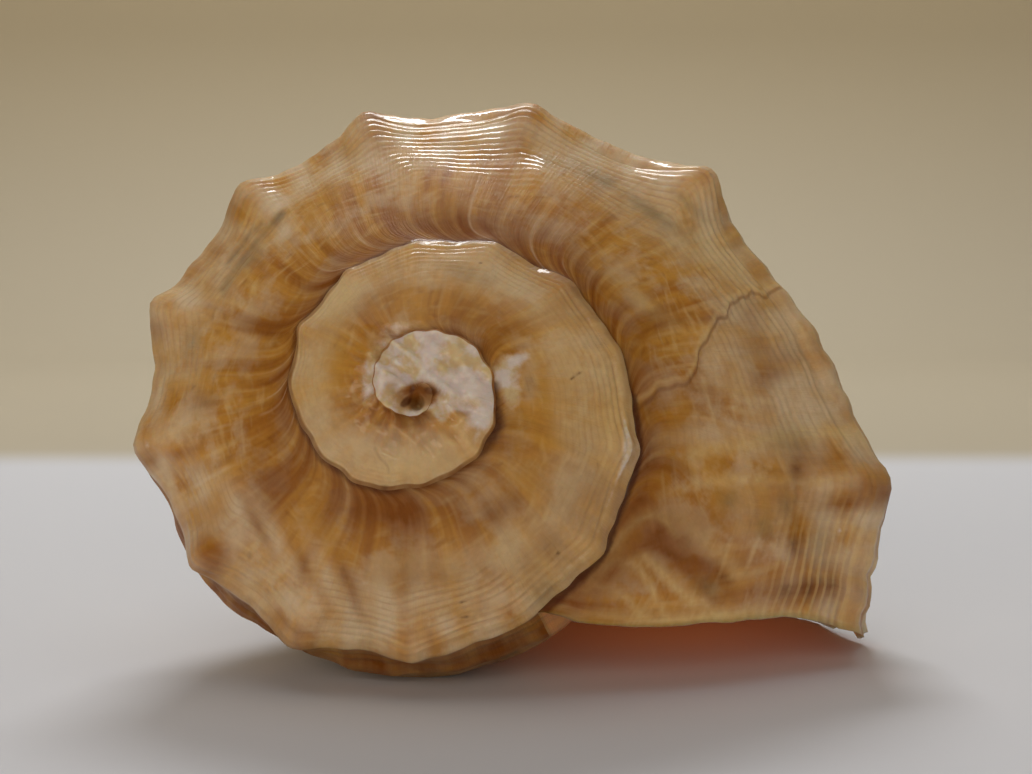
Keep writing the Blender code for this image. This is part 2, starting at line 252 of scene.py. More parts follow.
def outer_ramp(turn, share):
    """Ramp from the suture at share 0 to the shoulder at share 1, as radius, angle and depth: a slightly
    swollen slope with a channel at the suture and the fold of each knob. Only its innermost part follows the
    knobs of the whorl that it is stuck to."""
    sewn_radius, inner_depth = suture(turn)
    before = turn - (1.0 - SWEEP)
    usual = body_radius(before, SUTURE_DROP) + SEWN_KNOBS * KNOB_SHARE * shoulder_radius(before)
    inner_radius = np.where(before > FIRST_TURN, usual, 0.0)
    outer_radius, outer_depth = RAMP_END * shoulder_radius(turn), shoulder_depth(turn)
    ahead = SWEEP * (1.0 - share)**SWEEP_BEND
    wave = share + RAMP_WAVE * np.sin(2.0 * np.pi * share) - RAMP_SWELL * np.sin(np.pi * share)
    channel = SUTURE_CHANNEL * outer_radius * share * np.exp(-share / CHANNEL_SHARE) / CHANNEL_SHARE
    rise = knob(np.minimum(turn + ahead, 0.0)) * smooth((share - 1.0 + KNOB_FOLD) / KNOB_FOLD)**FOLD_POWER
    radius = inner_radius + (outer_radius - inner_radius) * share + rise
    radius = radius + (sewn_radius - inner_radius) * np.exp(-(share / SUTURE_FOLD)**2)
    depth = inner_depth + (outer_depth - inner_depth) * wave + channel - KNOB_LIFT * rise
    return radius, EDGE_START - 360.0 * (ahead + turn), depth


def outer_wall(turn, share):
    """Wall from the shoulder at share 0 to the canal's tip at share 1, as radius, angle and depth."""
    radius, depth = wall(turn, share)
    edge = lip_angle(share)
    gap = 360.0 * SWEEP - through(share * (len(PARIETAL_ANGLES) - 1), PARIETAL_ANGLES)
    gap = gap + edge - EDGE_START
    return radius, edge - turn / (1.0 - SWEEP) * (360.0 - gap), depth


print("angle of the lip's corner:", round(float(EDGE_START), 1), "degrees")

# %% [markdown]
# ## From radius, angle and depth to places
# The axis of the shell is tilted, so that the mouth and the belly of the whorl touch the table together, and
# turned a little, so that the apex points to the left of the camera. The apex has the same place as in the
# imported model. The camera is worked out here too, because the stains and the painted shade further on are
# placed as seen from it.

# %% Places in the shell's own frame and in the scene
APEX_PLACE = np.array([-8.99, -38.29, 28.86])


def in_space(radius, angle, depth):
    """Points of the shell's own frame: axis upright, apex at 0, the canal bent sideways by a square law."""
    angle = np.radians(angle)
    bend = np.maximum((depth - BEND_FROM) / (TIP_DEPTH - BEND_FROM), 0.0)**2
    x = radius * np.cos(angle) + SNOUT_BEND[0] * bend
    y = radius * np.sin(angle) + SNOUT_BEND[1] * bend
    return np.stack([x, y, -depth], axis=-1)


def lying(points):
    """Points as the shell lies: turned so that its axis is tilted, then moved to the apex's place."""
    tilt, yaw = np.radians(TILT), np.radians(YAW)
    axis = np.array([-np.sin(yaw) * np.cos(tilt), -np.cos(yaw) * np.cos(tilt), np.sin(tilt)])
    up = np.array([0.0, 0.0, 1.0]) - axis[2] * axis
    up /= np.linalg.norm(up)
    right = np.cross(up, axis)
    return points @ np.array([right, up, axis]) + APEX_PLACE


print("the apex lies at", lying(np.zeros(3)), "mm")

# %% Where the camera stands and what it sees
FOCAL_PIXELS = 1926.0
PICTURE = (1032.0, 774.0)
PITCH = np.radians(4.5)
APEX_DISTANCE = 160.0
APEX_PIXEL = (412.0, 380.0)
FORWARD = np.array([0.0, np.cos(PITCH), -np.sin(PITCH)])
UPWARD = np.array([0.0, np.sin(PITCH), np.cos(PITCH)])
RIGHTWARD = np.array([1.0, 0.0, 0.0])
CAMERA_PLACE = (APEX_PLACE - FORWARD * APEX_DISTANCE
                - RIGHTWARD * (APEX_PIXEL[0] - PICTURE[0] / 2) * APEX_DISTANCE / FOCAL_PIXELS
                + UPWARD * (APEX_PIXEL[1] - PICTURE[1] / 2) * APEX_DISTANCE / FOCAL_PIXELS)


def seen(points):
    """Pixels of the 1032 by 774 picture where the camera sees points: a plain perspective division."""
    away = lying(points) - CAMERA_PLACE
    scale = FOCAL_PIXELS / (away @ FORWARD)
    return np.stack([PICTURE[0] / 2 + (away @ RIGHTWARD) * scale,
                     PICTURE[1] / 2 - (away @ UPWARD) * scale], axis=-1)


print("camera at, mm:", CAMERA_PLACE.round(1), "apex seen at", seen(np.zeros((1, 3))).round(1))

# %% [markdown]
# ## Growth lines and cords
# Two families of fine relief cross on the shell. Spiral cords run with the whorl, about a millimetre apart
# near the lip and closer on older whorls. Growth lines are old positions of the lip's edge: straight across
# the ramp, with a hook forward at the suture. Both need lengths on the surface, so those come first.

# %% Lengths on the surface
HOOK = 0.035
HOOK_SHARE = 0.07
STRAIGHT_FROM = 0.12
TABLE_END, TABLE_SIZE = 0.25, 4000
turn_table = np.linspace(FIRST_TURN, TABLE_END, TABLE_SIZE)
table_step = turn_table[1] - turn_table[0]
arc_table = 2.0 * np.pi * np.cumsum(shoulder_radius(np.minimum(turn_table, 0.0))) * table_step
arc_table -= np.interp(0.0, turn_table, arc_table)


def arc(turn):
    """Length along the shoulder in mm, 0 at the lip and negative before: the radius summed over the angle."""
    return np.interp(turn, turn_table, arc_table)


def growth(turn, share):
    """Turn of the growth line through a point of the ramp: the true angle, hooked forward at the suture,
    and parallel to the edge close to the lip."""
    ahead = SWEEP * (1.0 - share)**SWEEP_BEND
    straight = smooth(-turn / STRAIGHT_FROM)
    return turn + (ahead - HOOK * np.exp(-share / HOOK_SHARE)) * straight


CORD_SPACING = 0.55
CORD_SPACING_AT = 14.0
CORD_SPACING_POWER = 0.6
CORD_LEAST_RADIUS = 0.5
WAVES = 9
WAVE_LENGTHS = (0.6, 1.3)
ANY_PHASE = (0.0, 6.3)


def cord_spacing(turn):
    """Distance between spiral cords in mm, growing with a power of the shoulder's radius."""
    radius = np.maximum(shoulder_radius(turn), CORD_LEAST_RADIUS)
    return CORD_SPACING * (radius / CORD_SPACING_AT)**CORD_SPACING_POWER


def wander(points, size, seed):
    """Smooth noise of about -1 to 1 with lumps of one size in mm: a sum of sines in seeded directions."""
    random = np.random.default_rng(seed)
    total = 0.0
    for _ in range(WAVES):
        way = random.normal(size=points.shape[-1])
        way *= 2.0 * np.pi / np.linalg.norm(way) / size * random.uniform(*WAVE_LENGTHS)
        total = total + np.sin(points @ way + random.uniform(*ANY_PHASE))
    return total / np.sqrt(WAVES)


def lumpy(points, noises):
    """Several noises added up, each with its height, the size of its lumps in mm and its seed."""
    return sum(height * wander(points, size, seed) for height, size, seed in noises)


print("length of the shoulder's spiral:", round(-arc(FIRST_TURN)), "mm")

# %% [markdown]
# ## The repaired break
# The lip was once broken back and the snail mended it: a jagged line crosses the last whorl, and the newer
# shell starts a little lower behind it. The line is nearly a growth line, so it is a turn for every share,
# with a few jogs where the edge had chipped. The edge of the lip today has small chips too.

# %% Line of the break
BREAK_TURNS = [-0.168, -0.163, -0.156, -0.146, -0.149, -0.150, -0.150, -0.148, -0.146, -0.143, -0.141]
LARGE_JOG, LARGE_PACE, LARGE_CHANGE = 0.0018, 31.0, 11.0
SMALL_JOG, SMALL_PACE = 0.0007, 67.0
INNER_WAY, OUTER_WAY = 0.45, 0.55
BREAK_STEP = 0.28
BREAK_HEAL = 7.0


def past_break(turn, share):
    """Length in mm from the line of the break towards the lip, negative on the older side: the difference in
    turns times the way round at that share. The jogs of the line are sines of the share."""
    line = through(share * (len(BREAK_TURNS) - 1), BREAK_TURNS)
    large = LARGE_JOG * np.sin(share * LARGE_PACE) * np.sin(share * LARGE_CHANGE + 0.5)
    small = SMALL_JOG * np.sin(share * SMALL_PACE + 1.0)
    way_round = 2.0 * np.pi * (INNER_WAY + OUTER_WAY * share) * shoulder_radius(turn)
    return (turn - line - (large + small)) * way_round


print("break at the shoulder, mm from the lip:", round(0.0 - arc(BREAK_TURNS[-1]), 1))


# %% Relief of the surface
CORD_HEIGHT = 0.10
WALL_CORD_HEIGHT = 0.12
WALL_CORDS_WIDER = 2.1
CORD_PATCH = (14.0, 1.3)
CORD_BASE, CORD_VARIETY = 0.55, 0.5
CORD_LIMITS = (0.08, 1.1)
CORD_WAVER = [(0.10, 5.0, 32)]
CORDS_FROM, CORDS_OVER = 0.35, 0.4
CORDS_END_OVER = 0.25
GROWTH_WAVES = [(0.045, 4.5, 5), (0.02, 2.2, 6)]
WALL_WAVES = [(0.08, 4.5, 5), (0.05, 2.6, 6)]
NEAR_LIP = 0.05
NEAR_LIP_MORE = 1.2
RAMP_DENTS = [(0.12, 8.0, 8)]
WALL_DENTS = [(0.2, 9.0, 8)]
FULL_RELIEF_RADIUS = 20.0
WAVES_AT_SUTURE, WAVES_MORE = 0.25, 0.75
DENTS_OVER = 0.3
SUTURE_FLAT = 0.06
BREAK_EDGE = 0.7
BREAK_RIM = 0.16
BREAK_RIM_BEFORE = 0.5
BREAK_START, BREAK_END, BREAK_END_OVER = 0.12, 1.02, 0.1
CORD_TURNS = [-3.4, -1.5, -1.3, -1.1, -0.95, -0.75, -0.52, -0.42, -0.20, -0.10, 0.0]
CORD_STRENGTHS = [0.2, 0.5, 1.2, 1.1, 0.8, 0.4, 0.4, 1.0, 1.0, 0.5, 0.7]


def cord_profile(turn, cord, points):
    """Height of the spiral cords from -1 to 1: a cosine of the cord's number that wavers a little, and whose
    size changes from cord to cord and along each cord."""
    turn = np.broadcast_to(turn, cord.shape)
    own = wander(np.stack([arc(turn) / CORD_PATCH[0], cord / CORD_PATCH[1]], axis=-1), 1.0, 31)
    phase = cord + lumpy(points, CORD_WAVER)
    return np.cos(2.0 * np.pi * phase) * np.clip(CORD_BASE + CORD_VARIETY * own, *CORD_LIMITS)


def ramp_relief(turn, share, cord, points):
    """Height in mm above the plain ramp: cords, strongest in the outer half, growth waves, dents and the
    break, which is a soft step down with a bell-shaped rim before it."""
    size = np.minimum(shoulder_radius(turn) / FULL_RELIEF_RADIUS, 1.0)
    strength = np.interp(turn, CORD_TURNS, CORD_STRENGTHS)
    outer = smooth((share - CORDS_FROM) / CORDS_OVER)
    spiral = CORD_HEIGHT * strength * outer * cord_profile(turn, cord, points) * size
    near_lip = 1.0 + NEAR_LIP_MORE * smooth(1.0 + turn / NEAR_LIP)
    waves = lumpy(arc(growth(turn, share))[..., None], GROWTH_WAVES)
    waves = waves * near_lip * size**2 * (WAVES_AT_SUTURE + WAVES_MORE * share)
    dents = lumpy(points, RAMP_DENTS) * size * smooth(share / DENTS_OVER)
    away = past_break(turn, share)
    mended = -BREAK_STEP * smooth(away / BREAK_EDGE + 0.5) * np.exp(-np.maximum(away, 0.0) / BREAK_HEAL)
    rim = BREAK_RIM * np.exp(-((away + BREAK_RIM_BEFORE) / BREAK_EDGE)**2)
    at_ends = smooth(share / BREAK_START) * smooth((BREAK_END - share) / BREAK_END_OVER)
    return (spiral + waves + dents) * smooth(share / SUTURE_FLAT) + (mended + rim) * at_ends


def wall_relief(turn, share, cord, points):
    """Height in mm above the plain wall: wider cords, growth waves and dents."""
    size = np.minimum(shoulder_radius(turn) / FULL_RELIEF_RADIUS, 1.0)
    spiral = WALL_CORD_HEIGHT * cord_profile(turn, cord, points) * smooth((1.0 - share) / CORDS_END_OVER)
    waves = lumpy(arc(turn)[..., None], WALL_WAVES) * (1.0 + NEAR_LIP_MORE * smooth(1.0 + turn / NEAR_LIP))
    return (spiral + waves + lumpy(points, WALL_DENTS)) * size


print("cords are", cord_spacing(np.array([0.0]))[0].round(2), "mm apart at the lip")

# %% Chips along the lip
RAMP_EDGE = 30.0
WALL_EDGE = 25.0
CHIP_TURN = 0.0016
CHIP_REACH = 0.018
CHIP_SIZE = 9.0
CHIP_FROM, CHIP_OVER = 0.1, 0.5
NICK_SIZE = 3.0
NICK_SHARE = 0.2
CORNER_PLACE, CORNER_WIDTH, CORNER_KEPT = 29.0, 8.0, 0.9


def chipped(turn, place):
    """Turn with the lip's edge set back where it is chipped, by noise of the place along the lip in mm. The
    corner at the shoulder is nearly whole."""
    chips = smooth((wander(place[..., None], CHIP_SIZE, 51) - CHIP_FROM) / CHIP_OVER)
    chips = chips + NICK_SHARE * wander(place[..., None], NICK_SIZE, 52)
    chips = chips * (1.0 - CORNER_KEPT * np.exp(-((place - CORNER_PLACE) / CORNER_WIDTH)**4))
    return turn - CHIP_TURN * chips * smooth(1.0 + turn / CHIP_REACH)


print("deepest chip in mm, about", round(2.0 * np.pi * SHOULDER_RADII[0] * CHIP_TURN, 2))

# %% [markdown]
# ## Stains, wear and painted shade, as seen from the front
# Patches of colour have no formula, so they are placed one by one where the photograph shows them: soft
# spots and soft strokes in pixels of the 1032 by 774 picture, on the ramps only. Most are stains and wear;
# those in the hollows along the sutures are partly pigment and partly painted shade, those in the crevices,
# in the furrows at the top and round the pit are painted shade, and one is a painted highlight. Each gives a
# value from 0 to 1 for every point, and the material turns those values into colour later, with ragged
# edges. A value from noise alone would look like a shell too, but like another one.

# %% Soft spots and strokes
def spot(pixel, centre, radii, lean=0.0):
    """A soft spot: a bell curve of the distance, with two radii and a lean in degrees."""
    x, y = pixel[..., 0] - centre[0], pixel[..., 1] - centre[1]
    c, s = np.cos(np.radians(lean)), np.sin(np.radians(lean))
    return np.exp(-((x * c + y * s) / radii[0])**2 - ((y * c - x * s) / radii[1])**2)


def stroke(pixel, stops, width):
    """A soft stroke: a bell curve of the distance to the nearest piece of a broken line."""
    nearest = np.full(pixel.shape[:-1], 1e9)
    for start, end in zip(np.array(stops[:-1], float), np.array(stops[1:], float)):
        along = end - start
        place = np.clip(((pixel - start) @ along) / (along @ along), 0.0, 1.0)
        nearest = np.minimum(nearest, np.linalg.norm(pixel - start - place[..., None] * along, axis=-1))
    return np.exp(-(nearest / width)**2)


def curve(stops):
    """A smooth line through the middles of a broken line: its corners are cut off three times over."""
    stops = np.array(stops, float)
    for _ in range(3):
        near, far = 0.75 * stops[:-1] + 0.25 * stops[1:], 0.25 * stops[:-1] + 0.75 * stops[1:]
        stops = np.concatenate([stops[:1], np.stack([near, far], axis=1).reshape(-1, 2), stops[-1:]])
    return stops


def together(*values):
    """Several soft values as one, by the chance that at least one of them is there."""
    missing = 1.0
    for value in values:
        missing = missing * (1.0 - np.clip(value, 0.0, 1.0))
    return 1.0 - missing


def marked(pixel, spots=(), strokes=()):
    """Spots and strokes together. A spot has a strength, a place, two radii and a lean; a stroke has a
    strength, a width and the places that it passes."""
    values = [strength * spot(pixel, (x, y), radii, lean) for strength, x, y, *radii, lean in spots]
    values += [strength * stroke(pixel, curve(stops), width) for strength, width, stops in strokes]
    return together(*values)


tests = np.array([[0, 0], [1, 0], [2, 0]])
print("a spot's value at 0, 1 and 2 radii:", spot(tests, (0, 0), (1, 1)).round(2))

# %% Furrows across the cords
FURROW_DEPTH = 0.3
FURROWS = [(1.0, 3.6, [(282, 213), (258, 240), (236, 268), (222, 290)]),
           (0.8, 3.0, [(262, 222), (246, 238), (228, 263)])]


def furrows(pixel):
    """1 in the bottom of the two furrows that cross the cords at the upper left, by soft strokes. It sets
    their relief and the shade that is painted in them.
    """
    return marked(pixel, strokes=FURROWS)


print("furrows:", len(FURROWS))

# %% [markdown]
# ## The worn crown
# The oldest whorls of a shell are the thinnest, and sand and water take their outer layers away first. What
# is left is chalky and white, down to a small hole at the apex. The white part ends at a growth line, and a
# loose flap of it lies on the next whorl.

# %% The crown
CROWN_END = -1.95
CROWN_EDGE = 0.09
CROWN_WAVER = [(0.03, 30.0, 41)]
CROWN_SPOTS = [(1.0, 505, 374, 14, 17, 15), (0.9, 519, 359, 14, 6, -25), (0.85, 370, 380, 9, 30, 5),
               (0.6, 385, 345, 18, 7, -40), (0.8, 512, 395, 10, 14, 0), (0.5, 400, 326, 24, 7, -10)]
CROWN_STROKES = [(0.5, 5.0, [(486, 400), (482, 424), (474, 442)])]
CROWN_THIN = [(0.55, 446, 350, 12, 8, 0)]
CROWN_THIN_TOO = [(0.5, 470, 402, 18, 6, 10)]
# Round the pit the crown's white gives way to painted shade.
PIT_SHADE_RING = [(1.0, 417, 396, 22, 13, -10)]
PIT_SHADE_GAIN = 1.5


def crown_share(turn, pixel):
    """1 on the worn crown, which is the innermost whorl: it ends at a wavering growth line, is thinner in two
    places and gives way round the pit to painted shade, and has a loose flap."""
    whorl = smooth((CROWN_END + lumpy(pixel, CROWN_WAVER) - turn) / CROWN_EDGE)
    whorl = whorl * (1.0 - marked(pixel, CROWN_THIN) - marked(pixel, CROWN_THIN_TOO))
    whorl = whorl * (1.0 - smooth(PIT_SHADE_GAIN * marked(pixel, PIT_SHADE_RING)))
    return together(whorl, marked(pixel, CROWN_SPOTS, CROWN_STROKES))


print("marks of the crown:", len(CROWN_SPOTS) + len(CROWN_STROKES))


# %% Spots, by tone and by place
SPOTS = {
    "veil": {
        "painted glint at the upper left, and the top": [
            # The first spot is a painted highlight, a glint on the swelling at the upper left.
            (0.9, 284, 232, 14, 9, -45), (0.55, 220, 285, 60, 13, -52), (0.5, 650, 175, 70, 25, 25),
            (0.35, 640, 215, 90, 18, 32)],
        "bands at the lower left": [
            (0.95, 325, 575, 9, 30, -25), (0.85, 280, 545, 9, 34, -28), (0.8, 420, 590, 12, 32, -5),
            (0.8, 385, 600, 10, 30, -8), (0.7, 236, 505, 9, 26, -30), (0.7, 470, 585, 9, 26, 10),
            (0.5, 345, 600, 40, 24, 20), (0.4, 250, 520, 22, 40, -20), (0.4, 470, 600, 34, 16, 0),
            (0.4, 460, 560, 50, 14, -10)],
        "newer shell after the break": [
            (0.6, 800, 400, 45, 40, 40), (0.6, 725, 350, 20, 48, 20), (0.5, 700, 435, 60, 10, -6),
            (0.5, 780, 425, 60, 12, -10), (0.5, 745, 515, 20, 30, 0), (0.75, 862, 585, 14, 45, 6)],
        "second whorl": [
            (0.6, 530, 385, 7, 18, 0), (0.35, 560, 400, 12, 60, -8), (0.5, 505, 275, 40, 12, 28),
            (0.5, 335, 300, 26, 12, -42), (0.5, 330, 450, 14, 34, -35), (0.45, 590, 440, 10, 40, 8)],
        "third whorl": [
            (0.4, 400, 450, 50, 30, 0), (0.45, 380, 440, 32, 13, 15), (0.45, 455, 440, 18, 24, 30),
            (0.3, 420, 470, 50, 8, 5)]},
    "amber": {
        "hollow beside the suture": [
            # Amber in the hollow beside the suture is partly pigment and partly painted shade.
            (0.6, 655, 322, 26, 14, -30), (0.6, 560, 268, 50, 22, 35), (0.5, 440, 222, 70, 14, 0),
            (0.5, 270, 480, 22, 36, -20), (0.45, 268, 330, 40, 12, 10), (0.3, 250, 370, 40, 20, 5),
            (0.4, 205, 400, 16, 12, 0)],
        "knobs": [
            (0.65, 872, 490, 15, 13, 0), (0.45, 705, 160, 12, 12, 0), (0.4, 520, 110, 18, 7, 0),
            (0.55, 374, 116, 16, 8, 0), (0.45, 236, 208, 16, 14, 0), (0.45, 156, 332, 14, 12, 0),
            (0.55, 147, 462, 12, 20, 0), (0.6, 212, 560, 20, 30, -25), (0.45, 300, 635, 30, 9, 32)],
        "newer shell after the break": [
            (0.5, 655, 465, 26, 10, 5), (0.45, 640, 495, 14, 40, 20), (0.5, 830, 465, 40, 14, 10),
            (0.5, 775, 368, 24, 15, -30), (0.4, 755, 330, 12, 26, -15), (0.6, 797, 470, 12, 18, 0),
            (0.5, 796, 545, 10, 22, 0), (0.6, 850, 500, 34, 12, -8), (0.3, 700, 520, 40, 14, 0),
            (0.35, 690, 555, 50, 30, 35), (0.7, 808, 590, 44, 16, -3), (0.5, 590, 600, 22, 12, -20)],
        "between the bands at the lower left": [
            (0.6, 347, 580, 7, 34, -20), (0.5, 302, 560, 6, 32, -28), (0.5, 260, 530, 6, 30, -30)],
        "second whorl": [
            (0.55, 395, 512, 80, 16, 0), (0.3, 430, 575, 60, 14, 0), (0.45, 500, 510, 30, 14, -35),
            (0.35, 545, 552, 30, 16, -40), (0.4, 380, 300, 40, 14, -25), (0.4, 470, 310, 40, 12, 25),
            (0.25, 590, 500, 40, 60, 20)]},
    "cream": {
        "along the lip": [(0.45, 765, 617, 30, 6, 0), (0.35, 690, 615, 60, 10, 0)],
        "last whorl": [(0.4, 720, 260, 60, 22, 40), (0.5, 640, 300, 50, 10, 38)],
        "second and third whorl": [
            (0.2, 430, 462, 50, 24, 0), (0.3, 400, 565, 24, 20, 0), (0.35, 455, 575, 26, 16, 20),
            (0.1, 540, 560, 34, 14, -35), (0.45, 610, 440, 12, 40, 5), (0.35, 345, 300, 30, 16, -45),
            (0.4, 600, 570, 20, 30, 30), (0.4, 400, 470, 26, 8, 0)],
        "crown": [
            (0.8, 418, 404, 4, 6, 30), (0.6, 446, 348, 9, 6, 0), (0.7, 480, 360, 14, 5, 40),
            (0.6, 466, 400, 12, 4, 10), (0.5, 425, 326, 16, 4, 0)]},
    "white": {
        "worn tips": [
            (0.9, 735, 460, 2.2, 2.2, 0), (0.5, 147, 444, 3, 5, 0), (0.35, 430, 618, 12, 4, 0),
            (0.4, 365, 583, 6, 4, 0)]},
    "brown": {
        "stains near the lip": [
            (0.55, 796, 469, 9, 14, 0), (0.4, 796, 522, 7, 10, 0), (0.55, 794, 546, 7, 12, 0),
            (0.4, 796, 500, 8, 10, 0), (0.5, 786, 592, 11, 14, 0), (0.5, 808, 589, 9, 15, 0),
            (0.5, 832, 586, 8, 16, 0), (0.5, 724, 577, 16, 8, 40), (0.5, 850, 488, 5, 5, 0),
            (0.5, 766, 385, 10, 4, -20)],
        "small pits and scars": [
            (0.8, 480, 263, 2.6, 1.6, 0), (0.6, 598, 465, 1.8, 4, 0), (0.8, 558, 553, 1.6, 3.6, 0),
            (0.75, 465, 617, 6, 2.2, -8), (0.7, 463, 602, 5, 1.6, -8), (0.9, 657, 450, 1.6, 1.6, 0),
            (0.5, 192, 387, 7, 4, -30), (0.4, 250, 555, 5, 10, 0), (0.55, 385, 486, 6, 2.0, 0)],
        "round the crown": [
            (0.45, 529, 384, 9, 17, -8), (0.3, 408, 380, 4, 6, 0), (0.4, 468, 413, 6, 4, 0),
            (0.5, 370, 409, 8, 2.5, 30)]},
    "grey": {
        "near the lip": [
            (0.6, 729, 500, 10, 8, 0), (0.65, 764, 526, 10, 10, 0), (0.5, 708, 587, 12, 8, 25),
            (0.5, 785, 505, 8, 14, 0), (0.4, 790, 440, 30, 16, 0), (0.4, 820, 545, 14, 30, 0)],
        "painted shade in the furrows along the top and the left": [
            # These grey spots are painted shade in the furrows along the top and at the left.
            (0.5, 600, 178, 26, 7, 25), (0.55, 655, 215, 30, 7, 33), (0.45, 690, 205, 22, 6, 40),
            (0.4, 545, 160, 20, 6, 10), (0.45, 250, 262, 20, 5, -42), (0.4, 192, 340, 10, 20, 10)],
        "second whorl": [
            (0.3, 470, 275, 30, 8, 20), (0.35, 375, 355, 8, 12, 0), (0.3, 545, 590, 20, 10, -30)]},
}
print("spots:", {tone: sum(len(rows) for rows in places.values()) for tone, places in SPOTS.items()})

# %% Strokes and the special marks
STROKES = {
    "veil": [],
    "amber": [
        (0.4, 10.0, [(636, 540), (660, 532), (684, 550), (708, 572), (728, 588)]),
        (0.45, 6.0, [(606, 580), (632, 548), (660, 545), (690, 572), (715, 600)])],
    "cream": [
        (0.5, 5.0, [(556, 618), (600, 613), (650, 621), (700, 620), (760, 616), (815, 620)]),
        (0.4, 9.0, [(600, 560), (618, 535), (640, 512), (668, 513), (700, 534), (738, 574)]),
        (0.3, 8.0, [(606, 576), (630, 556), (655, 562), (690, 594), (720, 612)]),
        (0.45, 7.0, [(690, 455), (760, 440), (830, 428), (862, 440)]),
        (0.8, 2.8, [(612, 550), (625, 531), (641, 518), (653, 515), (665, 521), (677, 536)]),
        (0.65, 4.2, [(645, 557), (660, 572), (680, 592), (694, 603)]),
        (0.7, 3.6, [(587, 578), (612, 564), (630, 560), (645, 575), (656, 598), (665, 615)]),
        (0.6, 3.4, [(556, 608), (580, 591), (604, 587), (625, 595), (640, 615)]),
        (0.35, 5.0, [(660, 495), (720, 478), (800, 482), (850, 478)])],
    "white": [
        (1.0, 6.0, [(629, 425), (630, 445), (627, 470), (622, 492)]),
        (0.5, 1.6, [(825, 536), (834, 534), (842, 530)])],
    "brown": [
        (0.7, 1.7, [(571, 380), (575, 374), (581, 372)]),
        (0.4, 3.0, [(375, 448), (379, 458), (387, 464), (389, 472)]),
        (0.7, 4.0, [(636, 440), (639, 458), (633, 480)]),
        (0.8, 4.0, [(496, 384), (497, 398)])],
    "grey": [],
}
# The brown line along the suture at the right is partly pigment and partly painted shade in the crevice.
SUTURE_LINE = [
    (0.85, 4.0, [(633, 398), (641, 448), (630, 489), (613, 532), (606, 555), (577, 583), (544, 613)])]
# Painted shade in the crevices of the sutures, where the brown reaches further.
CREVICE_SHADES = [(1.0, 498, 432, 26, 30, 0), (1.0, 634, 425, 14, 50, 0), (1.0, 580, 600, 44, 34, -45)]
# Amber painted as shade in the pit of the crown.
PIT_SHADES = [(0.4, 416, 395, 26, 15, -8), (0.4, 416, 395, 14, 8, -8)]
PIT_HOLES = [(0.8, 1.5, (406, 402), (7, 4), -42), (0.6, 1.4, (430, 391), (7, 4), 20),
             (0.7, 1.3, (412, 390), (3, 6), 20)]
print("strokes:", {tone: len(rows) for tone, rows in STROKES.items()})

# %% Tones of the ramps
LAST_WHORL, LAST_OVER = -0.92, 0.04
RAMP_WIDTH = 0.42
VEIL_BASE, VEIL_FROM, VEIL_OVER = 0.42, 0.45, 0.45
MOTTLE = [(0.30, 34.0, 11)]
OLD_VEIL, OLD_VEIL_FROM, OLD_VEIL_OVER = 0.30, 0.4, 0.3
AMBER_NEAR, AMBER_REACH, AMBER_POWER = 0.75, 3.2, 1.5
OLD_AMBER, OLD_AMBER_REACH = 0.8, 1.1
OLD_CREAM, OLD_CREAM_FROM, OLD_CREAM_OVER = 0.2, 0.25, 0.4
OLD_WHITE, OLD_WHITE_FROM, OLD_WHITE_OVER = 0.3, 0.97, 0.02
BROWN_NEAR, BROWN_REACH, BROWN_WIDER = 0.7, 0.34, 0.3
OLD_BROWN, OLD_BROWN_MORE, OLD_BROWN_REACH, OLD_BROWN_WIDER = 0.5, 0.5, 0.25, 0.35
BROWN_FROM, BROWN_OVER = -2.6, 0.3
OLD_GREY, FURROW_SHADE_GREY = 0.07, 0.6


def ramp_tones(turn, share, pixel):
    """Values from 0 to 1 for each tone of the ramps, by name. Some follow a formula: pale near the shoulder,
    amber and then brown near the suture, partly pigment and partly painted shade, white on the crown. The
    others are spots and strokes, and those in the crevices, the furrows and round the pit are painted shade."""
    last = smooth((turn - LAST_WHORL) / LAST_OVER)
    crown = crown_share(turn, pixel)
    second = (1.0 - last) * (1.0 - crown)
    from_suture = share * RAMP_WIDTH * shoulder_radius(turn)
    # Brown along the suture is partly pigment and partly painted shade; in the crevices it is painted shade.
    crevice_shade = marked(pixel, CREVICE_SHADES)
    dark = np.exp(-(from_suture / (BROWN_REACH + BROWN_WIDER * crevice_shade))**2)
    old_dark = np.exp(-(from_suture / (OLD_BROWN_REACH + OLD_BROWN_WIDER * crevice_shade))**2)
    old_dark = old_dark * smooth((turn - BROWN_FROM) / BROWN_OVER)
    by_formula = {
        "veil": [last * smooth((share - VEIL_FROM) / VEIL_OVER) * (VEIL_BASE + lumpy(pixel, MOTTLE)),
                 OLD_VEIL * second * smooth((share - OLD_VEIL_FROM) / OLD_VEIL_OVER)],
        # Amber near the suture is partly pigment and partly painted shade; round the pit of the crown it is
        # painted shade.
        "amber": [AMBER_NEAR * last * np.exp(-(from_suture / AMBER_REACH)**AMBER_POWER),
                  OLD_AMBER * second * np.exp(-from_suture / OLD_AMBER_REACH)]
                 + [marked(pixel, [shade]) * (1.0 - last) for shade in PIT_SHADES],
        "cream": [OLD_CREAM * second * smooth((share - OLD_CREAM_FROM) / OLD_CREAM_OVER)],
        "white": [crown, OLD_WHITE * second * smooth((share - OLD_WHITE_FROM) / OLD_WHITE_OVER)],
        "brown": [BROWN_NEAR * last * dark, (OLD_BROWN + OLD_BROWN_MORE * crevice_shade) * second * old_dark,
                  last * marked(pixel, strokes=SUTURE_LINE)]
                 + [strength * smooth(gain * spot(pixel, *where)) for strength, gain, *where in PIT_HOLES],
        # The grey in the furrows is painted shade.
        "grey": [OLD_GREY * second, FURROW_SHADE_GREY * furrows(pixel)]}
    return {tone: together(*values, marked(pixel, sum(SPOTS[tone].values(), []), STROKES[tone]))
            for tone, values in by_formula.items()}


